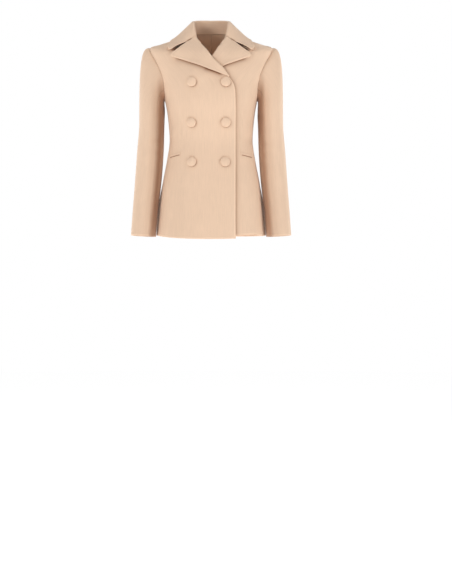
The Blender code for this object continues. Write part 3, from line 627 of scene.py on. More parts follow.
def distance_to(points, line):
    """Distance of points to a line, and the share of the line's length where they are nearest to it."""
    flat = points.reshape(-1, 3)
    length = lengths_along(line)
    best = np.full(len(flat), np.inf)
    share = np.zeros(len(flat))
    for start, end, before, after in zip(line[:-1], line[1:], length[:-1], length[1:]):
        run = end - start
        along = np.clip(((flat - start) @ run) / max(run @ run, 1e-9), 0, 1)
        away = np.linalg.norm(flat - start - along[:, None] * run, axis=1)
        nearer = away < best
        best = np.where(nearer, away, best)
        share = np.where(nearer, (before + along * (after - before)) / length[-1], share)
    return best.reshape(points.shape[:-1]), share.reshape(points.shape[:-1])


def fold_relief(points, line, width, depth):
    """Height of one soft fold: a trough or ridge that dies away at both ends, with a low swell beside it."""
    away, share = distance_to(points, smooth_line(line, np.linspace(0, 1, FOLD_PLACES)))
    ends = np.sin(np.pi * np.clip(share, 0, 1)) ** FOLD_ENDS
    swell, swell_at, swell_width = FOLD_SWELL
    shape = bell(away / width) - swell * bell((away / width - swell_at) / swell_width)
    return depth * ends * shape


def folds_of(rows, right, place, points):
    """Height of all the soft folds of one side of the coat at the points."""
    scale = bpy.context.scene.coat_cloth.crease
    height = np.zeros(points.shape[:-1])
    names = [name for name in rows if name.startswith(("start", "mid", "end"))]
    for row in np.flatnonzero(rows["right"] == right):
        width, depth = rows["width"][row], rows["depth"][row]
        line = np.array([place(*ends) for ends in np.reshape([rows[name][row] for name in names], (3, 2))])
        reach = np.linalg.norm(points - line[1], axis=-1).min()
        if reach < np.linalg.norm(line[2] - line[0]) + 4 * width:
            height += fold_relief(points, line, width, depth * scale)
    return height


def nearest_of(points, lines):
    """Distance of points to the nearest of several lines."""
    distances = [distance_to(points, np.concatenate([line[:-1:3], line[-1:]]))[0] for line in lines]
    return np.min([np.full(points.shape[:-1], FAR), *distances], axis=0)


def cloth_coordinates(grid, right, from_last=False):
    """Each grid point's place on the flat cloth, across and up, in millimetres."""
    across = np.cumsum(np.linalg.norm(np.diff(grid, axis=1, prepend=grid[:, :1]), axis=-1), axis=1)
    up = np.cumsum(np.linalg.norm(np.diff(grid, axis=0, prepend=grid[:1]), axis=-1), axis=0)
    if from_last:
        across = across - across[:, -1:]
    return np.stack([-across if right else across, up], -1)


def perimeter(rows, columns):
    """Row and column of each place round the rim of a grid."""
    places = [(0, j) for j in range(columns)] + [(i, columns - 1) for i in range(1, rows)]
    places += [(rows - 1, j) for j in range(columns - 2, -1, -1)] + [(i, 0) for i in range(rows - 2, 0, -1)]
    return np.array(places).T


def rim_rings(outer, inner, rounded):
    """Rings of points from the outer face's rim to the inner one's, bulging where the edge is rounded."""
    rows, columns = outer.shape[:2]
    i, j = perimeter(rows, columns)
    beside = np.where(i == 0, 1, np.where(i == rows - 1, rows - 2, i)), j
    within = i, np.where(j == 0, 1, np.where(j == columns - 1, columns - 2, j))
    middle = (outer[i, j] + inner[i, j]) / 2
    half = (outer[i, j] - inner[i, j]) / 2
    away = unit(unit(outer[i, j] - outer[beside]) + unit(outer[i, j] - outer[within]))
    reach = np.linalg.norm(half, axis=1, keepdims=True) * EDGE_ROUND * rounded[i, j, None]
    return [middle + half * np.cos(turn) + away * reach * np.sin(turn) for turn in np.radians(RIM_TURNS)]


def grid_faces(rows, columns, rings):
    """Faces of a closed piece: two grids of points, and rings of points round the rim between them."""
    index = np.arange(rows * columns).reshape(rows, columns)
    quads = np.stack([index[:-1, :-1], index[:-1, 1:], index[1:, 1:], index[1:, :-1]], -1).reshape(-1, 4)
    i, j = perimeter(rows, columns)
    first = 2 * rows * columns
    steps = [index[i, j]]
    steps += [first + ring * len(i) + np.arange(len(i)) for ring in range(rings)]
    steps += [index[i, j] + rows * columns]
    rim = [
        np.stack([np.roll(low, -1), low, high, np.roll(high, -1)], -1)
        for low, high in zip(steps[:-1], steps[1:])
    ]
    return np.concatenate([quads, quads[:, ::-1] + rows * columns, *rim]).tolist()


def added(name, data):
    """A new object in the scene."""
    made = bpy.data.objects.new(name, data)
    bpy.context.scene.collection.objects.link(made)
    return made


def stand_in(piece, node):
    """Let a piece ride on the coat in place of its plain solid."""
    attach(piece, "root")
    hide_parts(node)


def mesh_object(name, points, faces, coordinates, marks, material):
    """A smooth object from points in millimetres, with its cloth coordinates and marks at each point."""
    mesh = bpy.data.meshes.new(name)
    mesh.from_pydata((points * MM).tolist(), [], faces)
    for mark, values in marks.items():
        layer = mesh.attributes.new(mark, "FLOAT", "POINT")
        layer.data.foreach_set("value", np.asarray(values, np.float32))
    corner_vertex = np.empty(len(mesh.loops), np.int32)
    mesh.loops.foreach_get("vertex_index", corner_vertex)
    layer = mesh.uv_layers.new(name=CLOTH_MAP)
    layer.uv.foreach_set("vector", (coordinates * MM)[corner_vertex].astype(np.float32).ravel())
    shape = bmesh.new()
    shape.from_mesh(mesh)
    bmesh.ops.recalc_face_normals(shape, faces=shape.faces)
    shape.to_mesh(mesh)
    shape.free()
    mesh.shade_smooth()
    mesh.materials.append(material)
    return added(name, mesh)


class Cut:
    """A cut piece of cloth: its two faces as grids of points, its free and its sewn lines, its relief and its
    painted shade.
    """

    def __init__(self, outer, inner, right, free, sewn, pressed=(), from_last=False):
        self.outer, self.inner, self.right = outer, inner, right
        self.edge = nearest_of(outer, free)
        self.seam = nearest_of(outer, sewn)
        for line, faint in pressed:
            self.seam = np.minimum(self.seam, nearest_of(outer, [line]) + faint)
        self.shade = np.zeros(outer.shape[:-1])
        # lines of the notch beside which the hidden face and the rims get painted shade
        self.notches = []
        self.coordinates = cloth_coordinates(outer, right, from_last)

    def shade_near(self, line, width, strength, ends=0.0, power=1):
        """Paint shade beside a line, where cloth lies over this piece; it may die away at both ends."""
        away, share = distance_to(self.outer, line)
        fade = smooth_step(np.minimum(share, 1 - share) / ends) if ends else 1.0
        self.shade = np.maximum(self.shade, strength * fade * bell(away / width, power))

    def raise_by(self, height):
        """Move both faces out by a height at each place."""
        out = grid_normals(self.outer)
        out = out * np.sign((out * (self.outer - self.inner)).sum(-1, keepdims=True))
        self.outer = self.outer + out * height[..., None]
        self.inner = self.inner + out * height[..., None]

    def sink_seams(self, depth, width):
        """Draw the outer face down along the sewn lines."""
        through = unit(self.outer - self.inner)
        sink = depth * bell(self.seam / width)
        self.outer = self.outer - through * sink[..., None]

    def flat_size(self):
        """Width, length and area of the flat cloth, in metres and square metres."""
        middle = (self.outer + self.inner) / 2
        width = max(lengths_along(row)[-1] for row in middle) * MM
        length = max(lengths_along(column)[-1] for column in middle.swapaxes(0, 1)) * MM
        length = max(length, SMALLEST_CUT * MM)
        first = middle[1:, 1:] - middle[:-1, :-1]
        second = middle[1:, :-1] - middle[:-1, 1:]
        area = np.linalg.norm(np.cross(first, second), axis=-1).sum() / 2 * MM * MM
        # a cut that runs out to a point, as a lapel does, fills half of its width times its length
        width = min(width, 2 * area / length)
        return width, length, min(area, width * length)

    def piece(self, name, material, slot, held, rests_on):
        """The closed piece, riding on the coat in place of its plain solid."""
        rows, columns = self.outer.shape[:2]
        rings = rim_rings(self.outer, self.inner, self.edge < ROUND_WITHIN)
        i, j = perimeter(rows, columns)
        side = (-1, 1, 1) if self.right else (1, 1, 1)
        points = np.concatenate([self.outer.reshape(-1, 3), self.inner.reshape(-1, 3), *rings]) * side

        def spread(grid):
            flat = grid.reshape(rows * columns, *grid.shape[2:])
            return np.concatenate([flat, flat, *[grid[i, j]] * len(rings)])

        marks = {mark: spread(getattr(self, mark)) for mark in ("seam", "edge", "shade")}
        # painted shade on the hidden face and the rims beside each notch line
        for line in self.notches:
            away, _ = distance_to(points, line * side)
            away[rows * columns:2 * rows * columns] = FAR
            marks["shade"] = np.maximum(marks["shade"], SIDE_SHADE * bell(away / SIDE_REACH, 4))
        faces = grid_faces(rows, columns, len(rings))
        made = mesh_object(name, points, faces, spread(self.coordinates), marks, material)
        width, length, area = self.flat_size()
        stand_in(made, name.removeprefix("cloth_"))
        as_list(rests_on)


# --- the cut pieces ------------------------------------------------------------------------------------


def row_levels(*keys):
    """Levels of a piece's rows, close together at its lower and upper end, with the key levels among them."""
    spans = []
    for low, high in zip(keys[:-1], keys[1:]):
        part = shares(high - low, GRAIN * ROW_GRAIN, start=low == keys[0], end=high == keys[-1])
        spans.append(low + (high - low) * part)
    return np.unique(np.round(np.concatenate(spans), 4))


def covering_edge():
    """Line on the left front and lapel where the edge of the right front lies over them."""
    z = np.linspace(EDGE["z"][0], EDGE["z"][-3], EDGE_PLACES)
    return body(*find_on_front(smooth_value(EDGE["z"], EDGE["x"], z), z))


def button_places():
    """(radius, x, z) of each button, with x on the right front's own side."""
    boxes = (np.array(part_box(node)) / MM for node in BUTTONS)
    return [((high[0] - low[0]) / 2, -(low[0] + high[0]) / 2, (low[2] + high[2]) / 2) for low, high in boxes]


def shade_front(cut, notch):
    """Paint shade on a front under the notch, the lapel, the buttons and the other front."""
    low = along_line([LAPEL_BREAK, *LAPEL_LOW], np.linspace(0, 1, LOW_PLACES))
    low = front_at(cut.right, *low.T)
    cut.shade_near(notch, *NOTCH_SHADE)
    cut.shade_near(low, *LAPEL_SHADE)
    if not cut.right:
        cut.shade_near(covering_edge(), *EDGE_SHADE)
        return
    cut.shade_near(low[:BREAK_PLACES], *BREAK_SHADE)
    # painted shadow crescent below each button's rim
    turn = np.radians(np.linspace(*BUTTON_SHADED, BUTTON_PLACES))
    for radius, x, z in button_places():
        radius = radius * BUTTON_SCALE - BUTTON_IN
        cut.shade_near(front_at(True, x + radius * np.cos(turn), z + radius * np.sin(turn)), *BUTTON_SHADE)


def front_cut(right):
    """One front, from the closing edge and the lapel's fold to the side seam, armhole and shoulder seam."""
    levels = row_levels(0, SIDE_TOP, BREAK_LEVEL, SHOULDER, NECK_LEVEL)[:, None]
    near = edge_angle(levels)
    angles = near + (armhole_edge("front_angle", levels) - near) * shares(FRONT_WIDTH)
    levels = np.broadcast_to(levels, angles.shape)
    if not right:
        start, ease = HEM_STEP_END
        step = HEM_STEP * (1 - smooth_step((angles - start) / ease))
        levels = levels + step * np.clip(1 - levels / HEM_STEP_ROWS, 0, 1)
    outer, inner = (front_point(right, angles, levels, out) for out in (0, -CLOTH))
    turn = int(np.searchsorted(levels[:, -1], BREAK_LEVEL))
    dart = smooth_line(front_point(right, *np.array(DART).T), np.linspace(0, 1, DART_PLACES))
    free, sewn = [outer[0], outer[:turn, 0]], [outer[:, -1], outer[-1]]
    cut = Cut(outer, inner, right, free, sewn, [(dart, DART_FAINT)])
    notch_end = np.mean([LAPEL_TIP[-1], COLLAR_END[0]], axis=0)
    notch = np.linspace(NOTCH, notch_end, NOTCH_PLACES)[1:-1]
    notch = front_at(right, *notch.T)
    shade_front(cut, notch)
    away, share = distance_to(outer, dart)
    valley = DART_DEPTH * np.sin(np.pi * share) ** 0.5 * bell(away / DART_WIDTH)
    folds = folds_of(BODY_FOLDS, right, body, outer)
    cut.raise_by(folds - valley + fold_relief(outer, notch, *NOTCH_HOLLOW))
    return cut


def side_panel_cut(right):
    """The panel under the arm, between the front and the back, cut out for the armhole."""
    front_angle, back_angle = (ARMHOLE[side][SIDE_SEAM_ROW] for side in ("front_angle", "back_angle"))
    angles = front_angle + (back_angle - front_angle) * shares(PANEL_WIDTH)
    up = row_levels(0, UNDERARM)[:, None] / UNDERARM
    ease = np.clip((up - PANEL_EASE) / (1 - PANEL_EASE), 0, 1)
    levels = up * UNDERARM + (underarm_level(angles) - UNDERARM) * ease
    angles = np.broadcast_to(angles, levels.shape)
    outer, inner = (off_body(angles, levels, out) for out in (0, -CLOTH))
    cut = Cut(outer, inner, right, [outer[0]], [outer[:, 0], outer[:, -1], outer[-1]])
    cut.raise_by(folds_of(BODY_FOLDS, right, body, outer))
    return cut


def back_cut(right):
    """One half of the back, from the side seam to the seam at centre back."""
    levels = row_levels(0, SIDE_TOP, SHOULDER, NECK_LEVEL)[:, None]
    near = armhole_edge("back_angle", levels)
    angles = near + (CENTRE_BACK - near) * shares(BACK_WIDTH)
    levels = np.broadcast_to(levels, angles.shape)
    outer, inner = (off_body(angles, levels, out) for out in (0, -CLOTH))
    cut = Cut(outer, inner, right, [outer[0]], [outer[:, 0], outer[:, -1], outer[-1]], from_last=True)
    cut.raise_by(folds_of(BODY_FOLDS, right, body, outer))
    return cut


def fold_path(right, angle, level, openness, rest):
    """Points of the fold round the front's edge at each of its places, from below it to above it."""
    here = front_point(right, angle, level)
    normal = body_normal(angle, level)
    along = unit(np.gradient(here, axis=0))
    past = np.cross(along, normal)
    past = past * -np.sign((past * (1, 0, 0)).sum(-1, keepdims=True))
    at = np.linspace(0, len(FOLD["open_out"]) - 1, FOLD_CELLS + 1)
    places = [smooth_value(np.arange(len(values)), values, at) for values in FOLD.values()]
    path = []
    for open_past, open_out, pressed_past, pressed_out in zip(*places):
        thinned_out = pressed_out if pressed_out < 0 else pressed_out * rest / LAPEL_REST
        distance = pressed_past + (open_past - pressed_past) * openness
        out = thinned_out + (open_out - thinned_out) * openness
        path.append(here + past * distance[:, None] + normal * out[:, None])
    return np.stack(path, 1)


def settled(distance, openness, rest):
    """How far out the middle of the lapel lies at a distance from its fold."""
    rise = (FOLD["open_out"][-1] - rest) * openness
    return rest + rise * bell(distance / FOLD_EASE)


def openness_of(right, z):
    """1 where the fold is soft and 0 where it is pressed flat, at the break and below the right front."""
    return smooth_step((z - (BREAK_Z if right else UNDER_Z)) / OPENING)


def notched_line(start, places, bow):
    """A line from the neck by the notch, always at the same share, to more places; bowed past the notch."""
    first = np.minimum(ACROSS / NOTCH_AT, 1)[:, None]
    second = np.maximum((ACROSS - NOTCH_AT) / (1 - NOTCH_AT), 0)
    past = along_line([NOTCH, *places], second) - NOTCH
    return start + (NOTCH - start) * first + past + (0, bow) * np.sin(np.pi * second**NOTCH_SKEW)[:, None]


def lapel_flat(levels):
    """The lapel seen from the front, as rows of (x, z) that start on the front's edge at the levels."""
    start = body(edge_angle(levels), levels)
    fold = start[:, [0, 2]]
    along = lengths_along(fold)
    v = (along / along[-1])[:, None, None]
    u = ACROSS[None, :, None]
    low = along_line([fold[0], *LAPEL_LOW], ACROSS)[None]
    high = notched_line(fold[-1], LAPEL_TIP[-1:], NOTCH_BOW[0])[None]
    tip = smooth_line(LAPEL_TIP, v[:, 0, 0])[:, None]
    low_corners = (1 - u) * low[:, :1] + u * low[:, -1:]
    high_corners = (1 - u) * high[:, :1] + u * high[:, -1:]
    sides = (1 - v) * (low - low_corners) + v * (high - high_corners)
    return sides + (1 - u) * fold[:, None] + u * tip, v[:, 0, 0]


def lapel_raise(right, flat):
    """How much further the lapel stands off the front at its places, seen from the front."""
    low, top = (smooth_value(LAPEL_RAISE["across"], LAPEL_RAISE[edge], ACROSS) for edge in ("low", "top"))
    to_low, to_top = (np.linalg.norm(flat - edge, axis=-1) for edge in (flat[:1], flat[-1:]))
    raised = low * bell(to_low / RAISE_RUN[0]) + top * bell(to_top / RAISE_RUN[1])
    if not right:
        covered = np.interp(flat[..., 1], EDGE["z"], EDGE["x"])
        raised = raised * smooth_step((flat[..., 0] - covered - RAISE_CLEAR[0]) / RAISE_CLEAR[1])
    return raised


def lapel_shape(right):
    """Middle surface of the lapel, its normals and the half thickness of each of its rows."""
    levels = row_levels(BREAK_LEVEL, NECK_LEVEL)
    flat, v = lapel_flat(levels)
    full = smooth_step(v / LAPEL_GAIN)
    rest = BREAK_REST + (LAPEL_REST - BREAK_REST) * full
    openness = openness_of(right, flat[:, 0, 1])
    angle, level = find_on_front(flat[..., 0], flat[..., 1])
    angle[:, 0], level[:, 0] = edge_angle(levels), levels
    distance = np.linalg.norm(flat - flat[:, :1], axis=-1)
    out = settled(distance, openness[:, None], rest[:, None]) + lapel_raise(right, flat)
    over = front_point(right, angle, level, out)
    edge = fold_path(right, angle[:, 0], level[:, 0], openness, rest)
    middle = np.concatenate([edge[:, :-1], over], 1)
    normals = grid_normals(middle)
    normals[:, 0] = body_normal(angle[:, 0], level[:, 0])
    return middle, normals, (CLOTH + (LAPEL_CLOTH - CLOTH) * full) / 2


def two_faces(middle, normals, half_thickness):
    """Outer and inner face of a turned piece, thinner at its sewn edge."""
    gain = smooth_step(np.arange(middle.shape[1]) / (FOLD_CELLS / 2))
    half = CLOTH / 2 + (half_thickness[:, None] - CLOTH / 2) * gain
    shift = normals * half[..., None]
    return middle + shift, middle - shift


def lapel_cut(right):
    """One lapel, turned round the front's edge and lying on the front."""
    outer, inner = two_faces(*lapel_shape(right))
    at = FOLD_CELLS + NOTCH_CELLS
    cut = Cut(outer, inner, right, [outer[0], outer[:, -1], outer[-1, at:]], [outer[-1, :at + 1]])
    # painted shadow of the right front's edge, painted shade beside the notch and a painted dark line along
    # the gorge
    if not right:
        cut.shade_near(covering_edge(), *EDGE_SHADE)
    cut.notches = [outer[-1, at + 1:]]
    cut.shade_near(outer[-1, GORGE_CELLS], *GORGE_SHADE)
    return cut


def collar_end():
    """Middle line of the collar's front end, where it meets the lapel and then the notch, not yet raised."""
    start = body(edge_angle(NECK_LEVEL), NECK_LEVEL)
    flat = notched_line(start[[0, 2]], COLLAR_END, NOTCH_BOW[1])
    distance = np.linalg.norm(flat - flat[:1], axis=-1)
    return front_at(False, *flat.T, settled(distance, 1.0, LAPEL_REST))


def collar_line(angle):
    """Middle line of the collar at one angle round the neck: up the stand, over the fold, down the fall."""
    value = row_at(COLLAR, angle)
    normal = body_normal(angle, NECK_LEVEL)
    start = off_body(angle, NECK_LEVEL, -CLOTH / 2)
    fold = np.array([value["fold_" + axis] for axis in "xyz"])
    up = unit(fold - start)
    turn = unit(normal - up * (normal @ up))
    mid = off_body(value["mid_angle"], value["mid_level"], value["mid_out"])
    edge = off_body(value["edge_angle"], value["edge_level"], COLLAR_REST)
    out, down = np.array(FOLD_ROUND) * FOLD_TURN
    begin = fold + turn * FOLD_TURN * 2 - up * down
    half_way = start + (fold - start) * STAND_MIDDLE
    stand = np.array([start, half_way, fold - up * FOLD_TURN, fold + turn * out, begin])
    keys = np.arange(len(stand))
    at = np.linspace(0, keys[-1], FOLD_CELLS, endpoint=False)
    stand = np.stack([smooth_value(keys, stand[:, i], at) for i in range(3)], -1)
    bend = 2 * mid - (begin + edge) / 2
    t = ACROSS[:, None]
    fall = begin * (1 - t) ** 2 + bend * 2 * t * (1 - t) + edge * t * t
    return np.concatenate([stand, fall]), normal


def both_halves(half):
    """The rows of the left half of the collar, and then those of the right one back to its front end."""
    return np.concatenate([half, half[:-1][::-1] * (-1, 1, 1)])


def collar_cut():
    """The collar: a stand round the neck and a fall turned down over it, from the left end to the right."""
    angles = np.linspace(COLLAR["neck_angle"][0], CENTRE_BACK, COLLAR_HALF_STRIPS + 1)
    lines = [collar_line(angle) for angle in angles]
    half = np.array([line for line, _ in lines])
    lapel_middle, lapel_normals, _ = lapel_shape(False)
    end = np.concatenate([lapel_middle[-1, :FOLD_CELLS], collar_end()])
    ease = np.clip(1 - (angles - angles[0]) / COLLAR_END_EASE, 0, 1) ** 2
    half = half + (end - half[0]) * ease[:, None, None]
    raised = smooth_value(LAPEL_RAISE["across"], LAPEL_RAISE["top"], ACROSS)
    away = np.linalg.norm(half[:, FOLD_CELLS:] - half[:1, FOLD_CELLS:], axis=-1)
    raised = raised * bell(away / RAISE_RUN[1])
    normals = grid_normals(half)
    normals[0] = lapel_normals[-1]
    half[:, FOLD_CELLS:] -= normals[:, FOLD_CELLS:] * raised[..., None]
    middle = both_halves(half)
    normals = grid_normals(middle)
    normals[:, 0] = both_halves(np.array([normal for _, normal in lines]))
    normals[0], normals[-1] = lapel_normals[-1], lapel_normals[-1] * (-1, 1, 1)
    outer, inner = two_faces(middle, normals, np.full(len(middle), LAPEL_CLOTH / 2))
    at = FOLD_CELLS + NOTCH_CELLS
    free = [outer[:, -1], outer[0, at:], outer[-1, at:]]
    cut = Cut(outer, inner, False, free, [outer[0, :at + 1], outer[-1, :at + 1], outer[:, 0]])
    # painted shade beside each notch and a painted dark line along the gorge seam
    for end in (outer[0], outer[-1]):
        cut.notches.append(end[at + 1:][ACROSS[at + 1 - FOLD_CELLS:] < COLLAR_BEND])
        cut.shade_near(end[GORGE_CELLS], *GORGE_SHADE)
    return cut


def sleeve_ring(z, count):
    """A level section of the sleeve, starting at its underarm side and going round by the front."""
    value = row_at(SLEEVE, -z)
    turn = full_turn(count)
    x = value["centre_x"] - value["half_width"] * np.cos(turn)
    y = value["centre_y"] - value["half_depth"] * np.sin(turn)
    last, cuff = -SLEEVE["drop"][-2:]
    at_cuff = smooth_step((last - z) / (last - cuff))
    return np.stack([x, y, z - CUFF_TILT * at_cuff * (1 + np.cos(turn)) / 2], -1)


def sleeve_surface(count):
    """Outer face of the left sleeve in rings, and the direction of the cloth's thickness in the first."""
    angle, level = armhole_line(count)
    points, normals = body(angle, level), body_normal(angle, level)
    along = unit(np.roll(points, -1, axis=0) - np.roll(points, 1, axis=0))
    across = np.cross(normals, along)
    across = across * np.sign(((points.mean(axis=0) - points) * across).sum(-1, keepdims=True))
    high, low = -SLEEVE["drop"][[0, -1]]
    ring = sleeve_ring(high, count)
    height = (points[:, 2] - points[0, 2]) / (points[:, 2].max() - points[0, 2])
    reach = (CAP_REACH[0] + (CAP_REACH[1] - CAP_REACH[0]) * height)[:, None]
    drop = (CAP_DROP[0] + (CAP_DROP[1] - CAP_DROP[0]) * height) * (points[:, 2] - ring[:, 2])
    first = points + across * CAP_START + unit((ring - points) * (1, 1, 0) + (CAP_OUTWARD, 0, 0)) * reach
    first = first + (height * CAP_RISE)[:, None] * (0, 0, 1)
    last = ring + drop[:, None] * (0, 0, 1)
    rings = []
    for t in shares(CAP_LENGTH, GRAIN * CAP_GRAIN, end=False)[:-1]:
        s = 1 - t
        rings.append(points * s**3 + first * 3 * s * s * t + last * 3 * s * t * t + ring * t**3)
    below = shares(high - low, GRAIN * SLEEVE_GRAIN, start=False)
    rings += [sleeve_ring(high + (low - high) * share, count) for share in below]
    return np.array(rings), normals


def painted_sleeve_shade(outer):
    """How deep the painted shade of the sleeve is on the side that faces the body."""
    x, z = outer[..., 0], outer[..., 2]
    section = row_at(SLEEVE, np.maximum(-z, SLEEVE["drop"][0]))
    inward = (section["centre_x"] - x) / section["half_width"]
    strength, start, run = SLEEVE_SHADE
    tone = strength * smooth_step((inward - start) / run)
    strength, centre, reach = SLEEVE_ROUND
    tone += strength * bell((inward - centre) / reach)
    lighter, start, run = SLEEVE_RIM
    middle_z, reach_z = SLEEVE_RIM_Z
    tone *= 1 - lighter * bell((z - middle_z) / reach_z, 4) * smooth_step((inward - start) / run)
    return tone * smooth_step((CAP_LOW - z) / CAP_LOW_RUN)


def sleeve_cut(right, under):
    """The upper or the under piece of a sleeve, between its two lengthwise seams."""
    steps = 2 * (len(ARMHOLE["level"]) - 1)
    count = steps * SLEEVE_CELLS
    rings, first_normal = sleeve_surface(count)
    closed = np.concatenate([rings[:, -1:], rings, rings[:, :1]], 1)
    normals = grid_normals(closed)[:, 1:-1]
    middle = rings.mean(axis=1, keepdims=True)
    normals = normals * np.sign(((rings - middle) * normals)[-3].sum())
    ease = smooth_step(np.linalg.norm(rings - rings[:1], axis=-1) / CAP_START)[..., None]
    normals = unit(normals * ease + first_normal * (1 - ease))

    def place(turn, z):
        column = rings[:, int(round(turn / 360 * count)) % count]
        order = np.argsort(column[:, 2])
        return np.array([np.interp(z, column[order, 2], column[order, i]) for i in range(3)])

    first, second = (seam * SLEEVE_CELLS for seam in SLEEVE_SEAMS)
    columns = np.arange(first, second + 1)
    if under:
        columns = np.arange(second, count + first + 1) % count
    outer = rings[:, columns]
    inner = outer - normals[:, columns] * CLOTH
    lengthwise = zip((outer[:, 0], outer[:, -1]), SLEEVE_FAINT[::-1] if under else SLEEVE_FAINT)
    cut = Cut(outer, inner, right, [outer[-1]], [outer[0]], lengthwise)
    # painted shade on the side that faces the body
    cut.shade = painted_sleeve_shade(outer)
    cut.raise_by(folds_of(SLEEVE_FOLDS, right, place, outer))
    return cut


def welt_cut(right):
    """A pocket welt lying on the front and the side panel; its lower edge is pressed thin."""
    share = shares(WELT_LENGTH, near=WELT_CELLS)
    angle, level = ((start + (end - start) * share)[None] for start, end in zip(*WELT_ENDS))
    down = np.array(WELT_ROWS)[:, None]
    angles, levels = np.broadcast_arrays(angle, level - WELT_WIDTH * down)
    thick = WELT_THICK
    from_end = np.minimum(share, 1 - share) * WELT_LENGTH
    for (least, run), away in ((WELT_THIN, 1 - down), (WELT_TAPER, from_end)):
        thick = thick * (least + (1 - least) * smooth_step(away / run))
    outer, inner = (front_point(right, angles, levels, WELT_SEAT + out) for out in (thick, 0))
    cut = Cut(outer, inner, right, [], [outer[0]])
    # painted shadow along the welt's top edge, at the pocket's opening
    cut.shade_near(outer[0], *WELT_SHADE)
    return cut


def button_seat(x, z, turn, radius):
    """A button's underside: its centre, its rim's directions at the turns, the way out, and its lift."""
    rim = front_at(True, x + radius * np.cos(turn), z + radius * np.sin(turn)) * (-1, 1, 1)
    middle = front_at(True, x, z) * (-1, 1, 1)
    side = -unit(((rim - middle) * np.cos(turn)[:, None]).sum(axis=0))
    up = unit(((rim - middle) * np.sin(turn)[:, None]).sum(axis=0))
    out = unit(np.cross(side, up))
    up = np.cross(out, side)
    lifted = max(0.0, ((rim - middle) @ out).max()) + BUTTON_SEAT
    return middle + out * lifted, side * np.cos(turn)[:, None] + up * np.sin(turn)[:, None], out, lifted


def button_profile(height, foot):
    """The shank and the cover of a button, as (share of the radius, height over the underside)."""
    foot_share, foot_height = SHANK_FOOT
    shank = [(SHANK_SHARE * foot_share, foot), (SHANK_SHARE, foot + foot_height), (SHANK_SHARE, -SHANK_END)]
    return shank + list(zip(BUTTON_PROFILE["radius"], BUTTON_PROFILE["height"] * height))[1:-1]


def covered_button(name, node, height, material):
    """A button covered in cloth: rolled rim with small gathers, low dome, and a shank down to the coat."""
    low, high = np.array(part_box(node)) / MM
    radius = (high[0] - low[0]) / 2 * BUTTON_SCALE
    turn = full_turn(BUTTON_SIDES)
    seat, ring, out, lifted = button_seat(-(low[0] + high[0]) / 2, (low[2] + high[2]) / 2, turn, radius)
    foot = SHANK_GAP - lifted
    profile = button_profile(height, foot)
    uneven, often = GATHER_UNEVEN
    gathers = 0.5 + 0.5 * np.cos(GATHERS * turn + uneven * np.sin(often * turn))
    points, flat = [], []
    for share, rise in profile:
        under = smooth_step((share - GATHER_START[0]) / GATHER_START[1])
        under *= smooth_step((GATHER_END[0] - rise / height) / GATHER_END[1])
        gathered = 1 - GATHER_DEPTH * under * gathers
        points.append(seat + ring * (radius * share * gathered)[:, None] + out * rise)
        flat.append(np.stack([np.cos(turn), np.sin(turn)], -1) * radius * share)
    points = np.concatenate([*points, [seat + out * foot, seat + out * height]])
    flat = np.concatenate([*flat, np.zeros((2, 2))])
    rings = np.arange(len(profile) * BUTTON_SIDES).reshape(-1, BUTTON_SIDES)
    beside = np.roll(rings, -1, axis=1)
    foot_point, top_point = (np.full(BUTTON_SIDES, place) for place in (rings.size, rings.size + 1))
    faces = np.stack([rings[:-1], beside[:-1], beside[1:], rings[1:]], -1).reshape(-1, 4).tolist()
    faces += np.stack([beside[0], rings[0], foot_point], -1).tolist()
    faces += np.stack([rings[-1], beside[-1], top_point], -1).tolist()
    count = len(points)
    marks = {"seam": np.full(count, FAR), "edge": np.full(count, FAR), "shade": np.zeros(count)}
    made = mesh_object(name, points, faces, flat, marks, material)
    stand_in(made, node)


# --- finishes ------------------------------------------------------------------------------------------


class Value:
    """A number carried by a socket, so that shader maths reads as an expression."""

    def __init__(self, socket):
        self.socket = socket

    def made(self, operation, *values):
        """The value that one Math node gives."""
        tree = self.socket.id_data
        node = tree.nodes.new("ShaderNodeMath")
        node.operation = operation
        for slot, value in zip(node.inputs, values):
            if isinstance(value, Value):
                tree.links.new(value.socket, slot)
            else:
                slot.default_value = value
        return Value(node.outputs[0])

    def __add__(self, other):
        return self.made("ADD", self, other)

    def __sub__(self, other):
        return self.made("SUBTRACT", self, other)

    def __rsub__(self, other):
        return self.made("SUBTRACT", other, self)

    def __mul__(self, other):
        return self.made("MULTIPLY", self, other)

    def __truediv__(self, other):
        return self.made("DIVIDE", self, other)

    def __rtruediv__(self, other):
        return self.made("DIVIDE", other, self)

    def __neg__(self):
        return self * -1.0

    __radd__ = __add__
    __rmul__ = __mul__

    def bell(self, width):
        """1 where the value is 0, falling softly to 0 over the width."""
        share = self / width
        return (-(share * share)).made("EXPONENT", -(share * share))

    def wave(self, length):
        """A sine of the value, from 0 to 1."""
        return 0.5 + 0.5 * self.made("SINE", self * (2 * np.pi / length))


